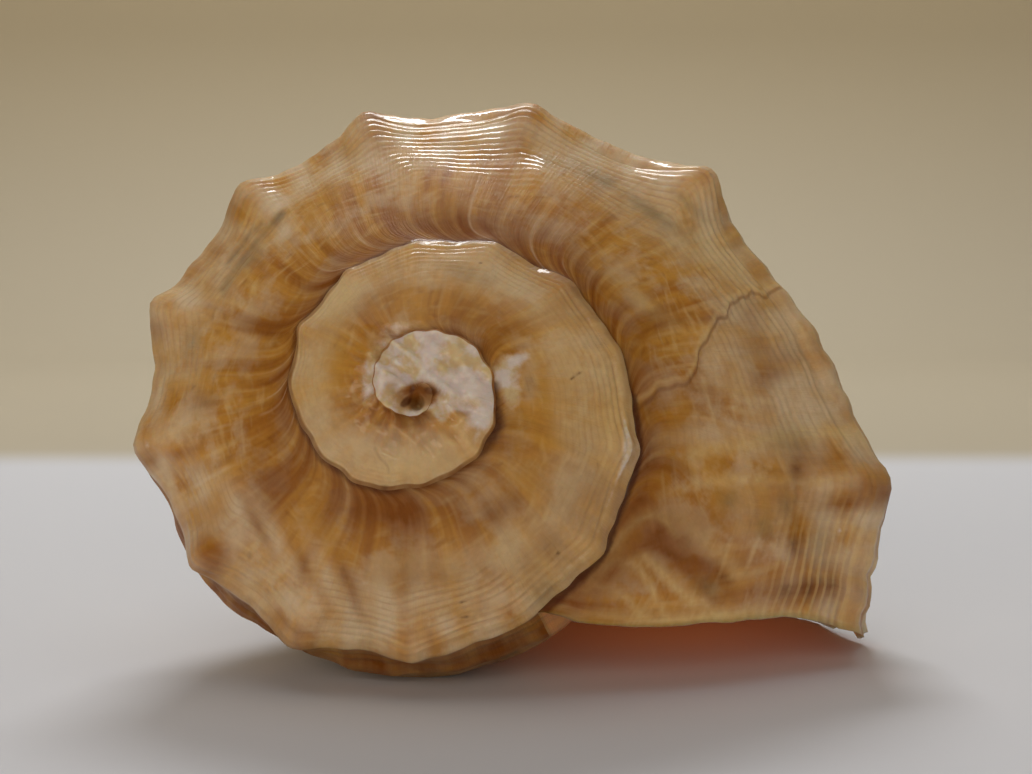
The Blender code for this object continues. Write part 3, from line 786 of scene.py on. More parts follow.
middle_tones = ramp_tones(np.array([-0.3]), np.array([0.5]), np.array([[640.0, 240.0]]))
print("tones at one point:", {name: value.round(2) for name, value in middle_tones.items()})

# %% Tones of the wall
WALL_VEIL = 0.45
WALL_MOTTLE = [(0.3, 16.0, 12)]
WALL_PATCHES = {"amber": (12.0, 13, 0.1, 0.8), "cream": (14.0, 14, 0.2, 0.6), "bands": (9.0, 15, 0.4, 0.4),
                "brown": (7.0, 16, 0.0, 1.0), "grey": (6.0, 17, 0.4, 0.6)}
PATCH_STRENGTHS = {"amber": 0.4, "cream": 0.35, "brown": 0.55, "grey": 0.25}
AMBER_TOP, AMBER_TOP_OVER = 0.5, 0.2
AMBER_SNOUT, AMBER_SNOUT_FROM, AMBER_SNOUT_OVER = 0.5, 0.8, 0.15
CREAM_LIP, CREAM_LIP_TURNS = 0.5, 0.02


def patches(points, size, seed, begin, reach):
    """Patches of noise: 0 below begin, and 1 where the noise passes begin by reach."""
    return smooth((wander(points, size, seed) - begin) / reach)


def wall_tones(turn, share, points):
    """Values from 0 to 1 for each tone of the wall, which the photograph hides: the same finish carried on,
    with amber below the shoulder and on the snout and with cream along the lip."""
    lumps = {name: patches(points, *WALL_PATCHES[name]) for name in ("amber", "cream", "brown", "grey")}
    lumps["brown"] = lumps["brown"] * patches(arc(turn)[..., None], *WALL_PATCHES["bands"])
    tones = {name: PATCH_STRENGTHS[name] * value for name, value in lumps.items()}
    at_top = AMBER_TOP * smooth(1.0 - share / AMBER_TOP_OVER)
    on_snout = AMBER_SNOUT * smooth((share - AMBER_SNOUT_FROM) / AMBER_SNOUT_OVER)
    tones["amber"] = at_top + tones["amber"] + on_snout
    tones["cream"] = together(tones["cream"], CREAM_LIP * smooth(1.0 + turn / CREAM_LIP_TURNS))
    tones["veil"] = WALL_VEIL + lumpy(points, WALL_MOTTLE)
    tones["white"] = np.zeros(points.shape[:-1])
    return tones


print("patches on the wall:", list(WALL_PATCHES))

# %% [markdown]
# ## One closed net
# The ramps of all the whorls are one long strip, wound up and sewn to itself: the inner edge of each turn
# uses the points of the turn before, just under its shoulder. Old whorls are small, so the strip has half
# as many rows each 0.9 turn back, and five-cornered faces join the fine part to the coarse one.

# %% Collecting points and faces
TONES = ["veil", "amber", "cream", "white", "brown", "grey"]
VALUES = ["along", "across", "cord", "inside", "break"] + TONES
point_sets = []
quads = []
quad_values = []
fans = []
fan_values = []


def add_points(points):
    """Numbers of newly added points, in the shape of their grid."""
    start = sum(len(each) for each in point_sets)
    point_sets.append(points.reshape(-1, 3))
    return start + np.arange(point_sets[-1].shape[0]).reshape(points.shape[:-1])


def corners_of(grid):
    """The four corners of every cell of a grid, in order round the cell."""
    sides = [grid[:-1, :-1], grid[1:, :-1], grid[1:, 1:], grid[:-1, 1:]]
    return np.stack([side.reshape((-1,) + grid.shape[2:]) for side in sides], axis=1)


def listed(values, shape):
    """Named values side by side in the order of VALUES, with 0 for a name that is missing."""
    return np.stack([np.broadcast_to(values.get(name, 0.0), shape) for name in VALUES], axis=-1)


def sew(numbers, values):
    """Faces over a grid of point numbers, with a grid of named values for their corners."""
    quads.append(corners_of(numbers))
    quad_values.append(corners_of(listed(values, numbers.shape)))


def five_corners(coarse, fine):
    """Corners of the faces between a coarse column and a fine one: two of the first, three of the second."""
    return np.stack([coarse[:-1], fine[:-1:2], fine[1::2], fine[2::2], coarse[1:]], axis=1)


def join_halved(coarse, fine, values_coarse, values_fine):
    """Five-cornered faces between two columns of point numbers, with the values of their corners."""
    fans.append(five_corners(coarse, fine))
    fan_values.append(five_corners(listed(values_coarse, coarse.shape), listed(values_fine, fine.shape)))


print("values on each corner:", VALUES)

# %% Outward directions
TURN_STEP = 0.002
SHARE_STEP = 0.004


def outward(surface, turn, share):
    """Unit normals of a surface of turn and share: the cross product of its two directions of change."""
    along = surface(np.minimum(turn + TURN_STEP, 0.0), share) - surface(turn - TURN_STEP, share)
    more, less = np.minimum(share + SHARE_STEP, 1.0), np.maximum(share - SHARE_STEP, 0.0)
    across = surface(turn, more) - surface(turn, less)
    normal = np.cross(along, across)
    return normal / np.maximum(np.linalg.norm(normal, axis=-1, keepdims=True), TINY)


def plain_ramp(turn, share):
    """The ramp without its fine relief, as points of the shell's own frame."""
    return in_space(*outer_ramp(turn, share))


def plain_wall(turn, share):
    """The wall without its fine relief, as points of the shell's own frame."""
    return in_space(*outer_wall(turn, share))


test = outward(plain_ramp, np.array([-0.4]), np.array([0.5]))[0]
print("the ramp faces", test.round(2), "in the shell's frame")

# %% [markdown]
# ## The outside
# Each stretch of 0.9 turn gets its own rows. Rows lie closer together near the shoulder, where the cords are,
# so that the cords are real ridges in the mesh.

# %% Rows and columns of the outside
COLUMNS_PER_TURN = 280
RAMP_ROWS = 96
DROP_ROWS = 4
WALL_ROWS = 110
ROW_EVENNESS = 0.45
STRETCHES = 4
COLUMNS = round(-FIRST_TURN * COLUMNS_PER_TURN) + 1
OVERLAP = round((1.0 - SWEEP) * COLUMNS_PER_TURN)


def ramp_shares(rows):
    """Shares across the ramp, closer together near the shoulder by a square law."""
    back = 1.0 - np.arange(rows + 1) / rows
    return 1.0 - (ROW_EVENNESS * back + (1.0 - ROW_EVENNESS) * back**2)


def drop_end(turn):
    """Share of the wall at which the next whorl covers it."""
    radius, top = shoulder_radius(turn), shoulder_depth(turn)
    return (SUTURE_DROP * radius / (TIP_DEPTH - top))**(1.0 / WALL_SPACING)


def steps_along(points):
    """Length from the first point of each row of points to each of the others."""
    step = np.linalg.norm(np.diff(points, axis=1), axis=-1)
    return np.concatenate([np.zeros((len(points), 1)), np.cumsum(step, axis=1)], axis=1)


print("shares of four rows across the ramp:", ramp_shares(4).round(3))

# %% The worn crown in relief
WORN_RADIUS = 9.0
CROWN_LEVEL = -2.6
CROWN_LUMPS = [(0.28, 3.0, 21), (0.18, 1.3, 22)]
PIT_PLACE = (-0.1, -1.2)
PIT_DEPTH, PIT_RADIUS = 0.9, 2.6
HOLE_DEPTH, HOLE_RADIUS = 1.6, 0.8
RIDGE_HEIGHT, RIDGE_RADIUS, RIDGE_WIDTH = 0.4, 3.1, 0.8
LUMPS_FROM, LUMPS_OVER = 0.6, 1.5
WORN_EDGE_DEPTH, WORN_EDGE_WIDTH = 0.12, 0.25


def worn(points):
    """The oldest whorls worn down to a lumpy flat crown: all that stood above its level is cut off, with a
    small groove where the cut ends. In it are a shallow pit round a small hole, both soft steps of the
    distance, and a bell-shaped ridge round the pit."""
    away = np.hypot(points[..., 0] - PIT_PLACE[0], points[..., 1] - PIT_PLACE[1])
    pit = PIT_DEPTH * (1.0 - smooth(away / PIT_RADIUS))
    hole = HOLE_DEPTH * (1.0 - smooth(away / HOLE_RADIUS))
    ridge = RIDGE_HEIGHT * np.exp(-((away - RIDGE_RADIUS) / RIDGE_WIDTH)**2)
    level = CROWN_LEVEL - pit - hole + ridge
    level = level + lumpy(points[..., :2], CROWN_LUMPS) * smooth((away - LUMPS_FROM) / LUMPS_OVER)
    gap = points[..., 2] - level
    flat = points.copy()
    flat[..., 2] = level + np.minimum(gap, 0.0) - WORN_EDGE_DEPTH * np.exp(-(gap / WORN_EDGE_WIDTH)**2)
    return np.where((away < WORN_RADIUS)[..., None], flat, points)


print("the apex is worn down to", worn(np.zeros((1, 3)))[0, 2].round(2), "mm")

# %% Ramps and the narrow strip of wall under each shoulder
DROP_WHITE = 0.3
# Painted shade on the strip under the older shoulders.
DROP_SHADE_AMBER = 0.7
DROP_SHADE_FROM = 0.8


def ramp_stretch(first, last, rows):
    """Points and corner values of the columns first to last, with the ramp's rows and then the drop's. Also
    the length of the drop. The strip under the shoulder takes the tones of the ramp's outer edge, with less
    white and, on older whorls, more amber, which is painted shade under the shoulder."""
    turn = ((np.arange(first, last + 1) - (COLUMNS - 1)) / COLUMNS_PER_TURN)[:, None]
    share = ramp_shares(rows)[None, :]
    low_share = drop_end(turn) * (np.arange(1, DROP_ROWS + 1) / DROP_ROWS)[None, :]
    ramp_turn, low_turn = chipped(turn, RAMP_EDGE * share), chipped(turn, RAMP_EDGE + WALL_EDGE * low_share)
    ramp, low = plain_ramp(ramp_turn, share), plain_wall(low_turn, low_share)
    length = steps_along(np.concatenate([ramp, low], axis=1))
    across = length - length[:, rows:rows + 1]
    cord = across / cord_spacing(turn) / np.where(across > 0.0, WALL_CORDS_WIDER, 1.0)
    ramp_up = ramp_relief(turn, share, cord[:, :rows + 1], ramp) - FURROW_DEPTH * furrows(seen(ramp))
    low_up = wall_relief(turn, low_share, cord[:, rows + 1:], low)
    ramp = ramp + outward(plain_ramp, ramp_turn, share) * ramp_up[..., None]
    low = low + outward(plain_wall, low_turn, low_share) * low_up[..., None]
    points = worn(np.concatenate([ramp, low], axis=1))
    on_ramp = ramp_tones(turn, share, seen(points)[:, :rows + 1])
    on_ramp["break"] = past_break(turn, share)
    below = {name: value[:, -1:].repeat(DROP_ROWS, axis=1) for name, value in on_ramp.items()}
    below["white"] = DROP_WHITE * below["white"]
    # More amber on the strip under the older shoulders is painted shade.
    below["amber"] = together(below["amber"], DROP_SHADE_AMBER * smooth(-turn - DROP_SHADE_FROM))
    values = {name: np.concatenate([on_ramp[name], below[name]], axis=1) for name in on_ramp}
    lines = np.concatenate([growth(turn, share), np.broadcast_to(turn, low_share.shape)], axis=1)
    return points, values | {"along": arc(lines), "across": across, "cord": cord}, across[:, -1]


def between(values, begin, end):
    """The part of each named value from one row to another."""
    return {name: value[begin:end] for name, value in values.items()}


print("rows and columns of the whole strip:", RAMP_ROWS + DROP_ROWS, COLUMNS)

# %% The strip wound up and sewn
edges = [0] + [COLUMNS - 1 - back * OVERLAP for back in range(STRETCHES - 1, -1, -1)]
row_counts = [RAMP_ROWS // 2**(STRETCHES - 1 - k) for k in range(STRETCHES)]
pole = add_points(worn(np.zeros((1, 3))))[0]
seam = np.full(COLUMNS, pole)
stretch_numbers, stretch_values = [], []
for k, rows in enumerate(row_counts):
    first, last = edges[k], edges[k + 1] - (k < STRETCHES - 1)
    points, values, drop_length = ramp_stretch(first, last, rows)
    numbers = np.full(points.shape[:2], pole)
    numbers[k == 0:, 1:] = add_points(points[k == 0:, 1:])
    seam[first:last + 1] = numbers[:, -1]
    inner = np.arange(first, last + 1) - OVERLAP
    numbers[:, 0] = np.where(inner > 0, seam[np.maximum(inner, 0)], pole)
    sew(numbers, values)
    stretch_numbers.append(numbers)
    stretch_values.append(values)
for k, rows in enumerate(row_counts[:-1]):
    old, new = stretch_numbers[k][-1], stretch_numbers[k + 1][0]
    old_values = {name: value[-1] for name, value in stretch_values[k].items()}
    new_values = {name: value[0] for name, value in stretch_values[k + 1].items()}
    join_halved(old[:rows + 1], new[:2*rows + 1],
                between(old_values, 0, rows + 1), between(new_values, 0, 2*rows + 1))
    old_drop, new_drop = between(old_values, rows, None), between(new_values, 2*rows, None)
    sew(np.stack([old[rows:], new[2*rows:]]),
        {name: np.stack([old_drop[name], new_drop[name]]) for name in old_drop})
print("points on the ramps:", sum(len(each) for each in point_sets))

# %% Wall of the last turn
NEAR_SHOULDER = 4.0
WARM_DROP, WARM_WIDTH, WARM_BEFORE, WARM_OVER, WARMTH = 6.0, 6.0, -0.45, 0.1, 0.8
NO_BREAK = 50.0
open_turn = ((np.arange(COLUMNS - 1 - OVERLAP, COLUMNS) - (COLUMNS - 1)) / COLUMNS_PER_TURN)[:, None]
start = drop_end(open_turn)
wall_share = start + (1.0 - start) * (np.arange(1, WALL_ROWS + 1) / WALL_ROWS)[None, :]
share_from_top = np.concatenate([start, wall_share], axis=1)
edge_turn = chipped(open_turn, RAMP_EDGE + WALL_EDGE * share_from_top)
plain = plain_wall(edge_turn, share_from_top)
down = drop_length[:, None] + steps_along(plain)[:, 1:]
wall_cord = down / cord_spacing(open_turn) / WALL_CORDS_WIDER
rise = wall_relief(open_turn, wall_share, wall_cord, plain[:, 1:])
wall_points = plain[:, 1:] + outward(plain_wall, edge_turn[:, 1:], wall_share) * rise[..., None]
print("points on the wall:", wall_points.shape[:2], "lowest, mm:", wall_points[..., 2].min().round(1))

# %% Values on the wall, and the ends of its rows
wall_values = wall_tones(open_turn, wall_share, wall_points)
last_ramp = {name: value[:, -1:] for name, value in stretch_values[-1].items()}
near_shoulder = smooth(1.0 - down / NEAR_SHOULDER)
below_knobs = np.exp(-((down - WARM_DROP) / WARM_WIDTH)**2) * smooth((WARM_BEFORE - open_turn) / WARM_OVER)
for name in TONES:
    wall_values[name] = wall_values[name] + (last_ramp[name] - wall_values[name]) * near_shoulder
for name in ("veil", "cream", "grey"):
    wall_values[name] = wall_values[name] * (1.0 - WARMTH * below_knobs)
wall_values["amber"] = together(wall_values["amber"], WARMTH * below_knobs)
wall_values |= {"along": arc(open_turn), "across": down, "cord": wall_cord, "break": NO_BREAK}
wall_numbers = np.concatenate([stretch_numbers[-1][:, -1:], add_points(wall_points)], axis=1)
sew(wall_numbers, {name: np.concatenate([last_ramp[name], np.broadcast_to(value, down.shape)], axis=1)
                   for name, value in wall_values.items()})
lip = np.concatenate([stretch_numbers[-1][-1], wall_numbers[-1, 1:]])
inner_side = wall_numbers[0, 1:]
tip = wall_numbers[:, -1]
print("points round the lip:", len(lip), "length of the wall's profile, mm:", down[-1, -1].round(1))

# %% [markdown]
# ## The mouth and the hollow behind it
# The mouth is a ring: along the lip, across the end of the canal and back up the inner side. Carried back
# into the shell about the axis and shrinking like the whorl, that ring gives the hollow, and it closes in a
# dome after half a turn, where nobody can look.

# %% Ring round the mouth
CANAL_POINTS = 12
CANAL_GROOVE = 3.4
CANAL_FLATNESS = 0.7


def mouth_ring():
    """Numbers round the mouth, with a groove across the canal's end that rises as a flattened sine."""
    points = np.concatenate(point_sets)
    begin, end = points[lip[-1]], points[inner_side[-1]]
    part = np.arange(1, CANAL_POINTS)[:, None] / CANAL_POINTS
    over = begin + (end - begin) * part
    over[:, 1] += CANAL_GROOVE * np.sin(np.pi * part[:, 0])**CANAL_FLATNESS
    canal = add_points(over)
    return np.concatenate([lip, canal, inner_side[::-1]]), np.concatenate([lip[-1:], canal, inner_side[-1:]])


ring, canal = mouth_ring()
print("points round the mouth:", len(ring))

# %% Hollow behind the mouth
LIP_THICKNESS = 1.8
CALLUS_THICKNESS = 0.4
HOLLOW_CENTRE = np.array([21.0, -10.5, -43.0])
HOLLOW_TURNS = 0.52
HOLLOW_NARROWING = 0.24
HOLLOW_NARROWING_TURNS = 0.2
HOLLOW_RINGS = 24
HOLLOW_START = 0.010
HOLLOW_SPACING = 1.4
EDGE_PARTS = [0.18, 0.55]
EDGE_BACK = 0.006
END_RINGS = 5
END_LENGTH = 7.0
END_STEP = 0.02
LIP_ROUNDING = 18.0
EDGE_DEPTHS = [0.0, 0.5, 0.9]
RING_STEP = 1.2
INSIDE_ACROSS = 10.0
CANAL_FADE = 0.07
CANAL_FROM = 60.0
CANAL_FULL = 76.0
CANAL_CORE_TOP = np.array([13.0, -4.0])
CANAL_CORE_TIP = np.array([-2.7, 0.2])
CANAL_CORE_ABOVE = 1.5


def canal_core(depth):
    """Middle of the siphonal canal at a depth: a straight line from under the body whorl to the tip."""
    part = np.clip((depth - CANAL_FROM) / (TIP_DEPTH - CANAL_FROM), 0.0, 1.0)[:, None]
    sideways = CANAL_CORE_TOP + (CANAL_CORE_TIP - CANAL_CORE_TOP) * part
    return np.concatenate([sideways, CANAL_CORE_ABOVE - depth[:, None]], axis=1)


def hollow_ring(edge, target, canal_part, back):
    """The mouth's inner edge carried back by some turns: shrunk like the whorl, drawn in, and turned."""
    turn = np.array([-back])
    wide = shoulder_radius(turn)[0] / shoulder_radius(np.zeros(1))[0]
    deep = shoulder_depth(turn)[0] / SHOULDER_DEPTH
    shrink = 1.0 - HOLLOW_NARROWING * (1.0 - np.exp(-back / HOLLOW_NARROWING_TURNS))
    closing = np.exp(-back / CANAL_FADE)
    keep = shrink * (1.0 - canal_part * (1.0 - closing))
    middle = target + (HOLLOW_CENTRE - target) * (1.0 - closing)
    points = (middle + (edge - target) * keep) * np.array([wide, wide, deep])
    c, s = np.cos(2.0 * np.pi * back), np.sin(2.0 * np.pi * back)
    return points @ np.array([[c, s, 0.0], [-s, c, 0.0], [0.0, 0.0, 1.0]])


print("middle of the canal at its tip:", canal_core(np.array([TIP_DEPTH])).round(1))

# %% Rings of the hollow
mouth = np.concatenate(point_sets)[ring]
order = np.arange(len(ring))
on_lip = smooth(order / LIP_ROUNDING) * smooth((len(lip) + CANAL_POINTS - order) / CANAL_POINTS)
thickness = CALLUS_THICKNESS + (LIP_THICKNESS - CALLUS_THICKNESS) * on_lip
canal_part = smooth((-mouth[:, 2] - CANAL_FROM) / (CANAL_FULL - CANAL_FROM))[:, None]
target = HOLLOW_CENTRE + canal_part * (canal_core(-mouth[:, 2]) - HOLLOW_CENTRE)
inward = target - mouth
distance = np.linalg.norm(inward, axis=1)
step_in = inward * (np.minimum(thickness, 0.5 * distance) / distance)[:, None]
rings = [hollow_ring(mouth + step_in * part, target, canal_part, EDGE_BACK * part) for part in EDGE_PARTS]
backs = HOLLOW_START + HOLLOW_TURNS * (np.arange(HOLLOW_RINGS) / (HOLLOW_RINGS - 1))**HOLLOW_SPACING
rings += [hollow_ring(mouth + step_in, target, canal_part, back) for back in backs]
last_ring = rings[-1]
middle = last_ring.mean(axis=0)
ahead = (last_ring - hollow_ring(mouth + step_in, target, canal_part, backs[-1] - END_STEP)).mean(axis=0)
ahead *= END_LENGTH / np.linalg.norm(ahead)
for angle in np.pi / 2 * np.arange(1, END_RINGS) / END_RINGS:
    rings.append(middle + (last_ring - middle) * np.cos(angle) + ahead * np.sin(angle))
ring_numbers = np.concatenate([ring[None], add_points(np.array(rings)),
                               np.full((1, len(ring)), add_points((middle + ahead)[None])[0])])
ring_numbers = np.concatenate([ring_numbers, ring_numbers[:, :1]], axis=1)
depth_rows = np.concatenate([EDGE_DEPTHS, np.ones(len(ring_numbers) - len(EDGE_DEPTHS))])[:, None]
ring_rows = RING_STEP * np.arange(1, len(ring_numbers) + 1)[:, None]
sew(ring_numbers, {"inside": depth_rows, "along": ring_rows, "across": INSIDE_ACROSS * depth_rows})
print("rings in the hollow:", len(rings))

# %% Cap on the end of the snout
def fan_between(one, other):
    """Triangles between two rows of point numbers of different length that share both ends: each step
    goes along the row whose next point comes first."""
    ahead_one = np.arange(1, len(one)) / (len(one) - 1)
    ahead_other = np.arange(1, len(other)) / (len(other) - 1) + TINY
    steps = np.argsort(np.concatenate([ahead_one, ahead_other]), kind="stable")
    on_one = steps < len(ahead_one)
    i = np.concatenate([[0], np.cumsum(on_one)])[:-1]
    j = np.concatenate([[0], np.cumsum(~on_one)])[:-1]
    third = np.where(on_one, one[np.minimum(i + 1, len(one) - 1)], other[np.minimum(j + 1, len(other) - 1)])
    return np.stack([one[i], third, other[j]], axis=1)


cap = fan_between(canal, tip[::-1])
cap = cap[(cap[:, 0] != cap[:, 1]) & (cap[:, 1] != cap[:, 2]) & (cap[:, 2] != cap[:, 0])]
print("triangles on the snout's end:", len(cap))

# %% [markdown]
# ## The mesh
# All the faces go into one mesh. The named values are stored on the corners of the faces and not on the
# points, because a point on a suture belongs to two whorls that look different there.

# %% Mesh of the shell
def without_repeats(cells, values):
    """Splits faces into whole ones and those with one corner less, where two corners are one point."""
    corners = cells.shape[1]
    same = cells == np.roll(cells, -1, axis=1)
    whole, less = same.sum(axis=1) == 0, same.sum(axis=1) == 1
    keep = ~same[less]
    return ((cells[whole], values[whole]),
            (cells[less][keep].reshape(-1, corners - 1),
             values[less][keep].reshape(-1, corners - 1, values.shape[2])))


METRES = 0.001
SNOUT_END_VEIL = 0.6
all_points = lying(np.concatenate(point_sets)) * METRES
four_sided = without_repeats(np.concatenate(quads), np.concatenate(quad_values))
five_sided = without_repeats(np.concatenate(fans), np.concatenate(fan_values))
cap_values = np.zeros((len(cap), 3, len(VALUES)))
cap_values[..., VALUES.index("veil")] = SNOUT_END_VEIL
parts = [*four_sided, *five_sided, (cap, cap_values)]
mesh = bpy.data.meshes.new("whelk_shell_surface")
faces = [face for cells, _ in parts for face in cells.tolist()]
mesh.from_pydata(all_points.tolist(), [], faces)
corner_values = np.concatenate([values.reshape(-1, len(VALUES)) for _, values in parts])
mesh.shade_smooth()
print("faces:", len(mesh.polygons), "corners:", len(mesh.loops), "values:", corner_values.shape)


# %% Values on the corners
CM = 10.0
BREAK_LIMIT = 20.0


def value_of(name):
    """One named value of every corner, by its column."""
    return corner_values[:, VALUES.index(name)]


def add_map(name, across, up):
    """A UV map from two values per corner."""
    layer = mesh.uv_layers.new(name=name)
    layer.uv.foreach_set("vector", np.stack([across, up], axis=1).astype(np.float32).ravel())


def add_values(name, *three):
    """A vector attribute from three values per corner."""
    made = mesh.attributes.new(name, "FLOAT_VECTOR", "CORNER")
    made.data.foreach_set("vector", np.stack(three, axis=1).astype(np.float32).ravel())


along_cm, across_cm = value_of("along") / CM, value_of("across") / CM
break_cm = np.clip(value_of("break"), -BREAK_LIMIT, BREAK_LIMIT) / CM
add_map("growth", along_cm, across_cm)
add_map("cords", along_cm, value_of("cord"))
add_values("tones", value_of("veil"), value_of("amber"), value_of("cream"))
add_values("marks", value_of("white"), value_of("brown"), value_of("inside"))
add_values("mending", break_cm, across_cm, value_of("grey"))
shell = bpy.data.objects.new("whelk_shell_piece", mesh)
bpy.context.scene.collection.objects.link(shell)
low, high = all_points.min(axis=0), all_points.max(axis=0)
print("shell box in mm:", (1000 * low).round(2), (1000 * high).round(2))

# %% [markdown]
# ## The finish of the shell
# A sea snail's shell is calcite with a little pigment, laid down in thin layers at the lip. Light goes a
# short way into it, and this one is glossy, as if it had been oiled or varnished. The colour is caramel,
# greyish pink where the cords are, chalky on the crown, and deep amber along the suture and in the hollows
# beside it, which is partly pigment and partly painted shade.

# %% Colours and the one helper for nodes
def linear(code):
    """Linear colour from an sRGB hex value, by the sRGB transfer curve."""
    value = np.array([int(code[i:i + 2], 16) for i in (1, 3, 5)]) / 255.0
    value = np.where(value <= 0.04045, value / 12.92, ((value + 0.055) / 1.055)**2.4)
    return (*value.tolist(), 1.0)


def node(tree, kind, settings=None, inputs=None):
    """Adds a node, sets it up and links or sets its inputs, each given by name or number. Returns its first
    active output."""
    made = tree.nodes.new("ShaderNode" + kind)
    for name, value in (settings or {}).items():
        setattr(made, name, value)
    for name, value in (inputs or {}).items():
        by_name = [socket for socket in made.inputs if socket.name == name and socket.enabled]
        socket = made.inputs[name] if isinstance(name, int) else by_name[0]
        if isinstance(value, bpy.types.NodeSocket):
            tree.links.new(value, socket)
        else:
            socket.default_value = value
    return next(output for output in made.outputs if output.enabled)


CARAMEL = linear("#c9923a")
CARAMEL_DARK = linear("#ae7226")
AMBER = linear("#844a0a")
GOLDEN = linear("#c79335")
VEIL = linear("#dac19c")
CREAM = linear("#e8ca8c")
CHALK = linear("#dcd2cc")
WORN_CHALK = linear("#cfb98e")
# Brown of the stains, and of the shade painted along the sutures and in their crevices.
STAIN_AND_SHADE = linear("#4b2007")
GREY = linear("#84714d")
GROOVE = linear("#96663c")
PALE_LINE = linear("#e2c9a6")
# Colour of the painted shadow along the line of the break.
BREAK_SHADOW_BROWN = linear("#7d4c24")
MOUTH = linear("#d9995c")
print("caramel in linear colour:", [round(v, 3) for v in CARAMEL])

# %% [markdown]
# Everything in the material reads the values stored on the corners. Noise that is stretched along the growth
# lines or along the cords roughens the edges of the soft spots and adds the fine striae, about half a
# millimetre apart, that no mesh of this size could hold.

# %% Material of aged calcite
calcite = bpy.data.materials.new("aged_calcite_shell")
calcite.use_nodes = True
tree = calcite.node_tree
surface = tree.nodes["Principled BSDF"]

growth_map = node(tree, "UVMap", {"uv_map": "growth"})
cord_map = node(tree, "UVMap", {"uv_map": "cords"})
stored = {}
for name in ("tones", "marks", "mending"):
    vector = node(tree, "Attribute", {"attribute_name": name}).node.outputs["Vector"]
    stored[name] = node(tree, "SeparateXYZ", inputs={"Vector": vector}).node.outputs
veil, amber, cream = stored["tones"]
white, brown, inside = stored["marks"]
past, _, grey = stored["mending"]
along, across, _ = node(tree, "SeparateXYZ", inputs={"Vector": growth_map}).node.outputs
_, cord, _ = node(tree, "SeparateXYZ", inputs={"Vector": cord_map}).node.outputs
on_object = node(tree, "TexCoord").node.outputs["Object"]
print("values that the material reads:", list(stored))


# %% Noise along the growth lines, along the cords and through the shell
def lines_of(step_mm, length_mm, detail):
    """Settings of noise on the growth map: lumps of one length along the shell and another across it."""
    return {"scales": (CM / step_mm, CM / length_mm, 1.0), "detail": detail}


LINE_NOISES = {
    "striae": lines_of(0.45, 9.0, 3.0),
    "beads": lines_of(0.38, 0.7, 2.0),
    "growth_bands": lines_of(2.6, 22.0, 2.0),
    "wide_bands": lines_of(8.0, 40.0, 1.0),
    "fine_bands": lines_of(1.5, 7.0, 1.5),
    "cord_streaks": lines_of(5.0, 1.1, 1.5),
    "dashes": lines_of(2.4, 1.0, 1.0),
}
SOLID_NOISES = {"blotches": (230.0, 4.0), "grain": (1500.0, 3.0), "clouds": (150.0, 3.0)}
noise = {}
for name, sizes in LINE_NOISES.items():
    scaled = node(tree, "VectorMath", {"operation": "MULTIPLY"}, {0: growth_map, 1: sizes["scales"]})
    noise[name] = node(tree, "TexNoise", {"noise_dimensions": "2D"},
                       {"Vector": scaled, "Scale": 1.0, "Detail": sizes["detail"], "Roughness": 0.55})
for name, (scale, detail) in SOLID_NOISES.items():
    noise[name] = node(tree, "TexNoise", {},
                       {"Vector": on_object, "Scale": scale, "Detail": detail, "Roughness": 0.6})
print("noise patterns:", list(noise))

# %% Base colour from caramel to the soft tones
PLUS = {"operation": "ADD"}
TIMES = {"operation": "MULTIPLY"}
TIMES_PLUS = {"operation": "MULTIPLY_ADD"}
SIZE_OF = {"operation": "ABSOLUTE"}
HELD = {"operation": "MULTIPLY", "use_clamp": True}
SOFT_STEP = {"interpolation_type": "SMOOTHSTEP"}
RGBA = {"data_type": "RGBA"}
FLECKS = [("fine_bands", 0.50, 0.85, 0.35, CREAM), ("fine_bands", 0.48, 0.20, 0.35, AMBER),
          ("cord_streaks", 0.50, 0.85, 0.40, CREAM), ("dashes", 0.55, 0.90, 0.40, AMBER),
          ("blotches", 0.44, 0.64, 0.55, VEIL), ("clouds", 0.48, 0.66, 0.50, GOLDEN)]
# Amber and grey carry painted shade, and the veil layer one painted glint.
LAYERS = [(veil, VEIL), (cream, CREAM), (amber, AMBER), (grey, GREY)]

bands = node(tree, "Math", PLUS, {0: node(tree, "Math", TIMES, {0: noise["growth_bands"], 1: 0.65}),
                                  1: node(tree, "Math", TIMES, {0: noise["wide_bands"], 1: 0.35})})
dark_share = node(tree, "MapRange", SOFT_STEP, {"Value": bands, "From Min": 0.38, "From Max": 0.66})
colour = node(tree, "Mix", RGBA, {"Factor": dark_share, "A": CARAMEL, "B": CARAMEL_DARK})
for name, begin, end, strength, tone in FLECKS:
    fleck = node(tree, "MapRange", SOFT_STEP,
                 {"Value": noise[name], "From Min": begin, "From Max": end, "To Max": strength})
    colour = node(tree, "Mix", RGBA, {"Factor": fleck, "A": colour, "B": tone})
ragged = node(tree, "Math", PLUS, {0: node(tree, "Math", TIMES, {0: noise["blotches"], 1: 0.5}),
                                   1: node(tree, "Math", TIMES, {0: noise["growth_bands"], 1: 0.5})})
shift = node(tree, "Math", TIMES_PLUS, {0: ragged, 1: 2.2, 2: -1.1})
ragged_share = node(tree, "Math", TIMES_PLUS, {0: shift, 1: 1.3, 2: 1.0})
for value, tone in LAYERS:
    held = node(tree, "Math", HELD, {0: value, 1: ragged_share})
    colour = node(tree, "Mix", RGBA, {"Factor": held, "A": colour, "B": tone})
print("flecks:", len(FLECKS), "layers of tone:", len(LAYERS))

# %% Dark grooves and pale crests of the cords
WORN_BEFORE = [float(arc(turn)) / CM for turn in (-1.9, -1.3)]

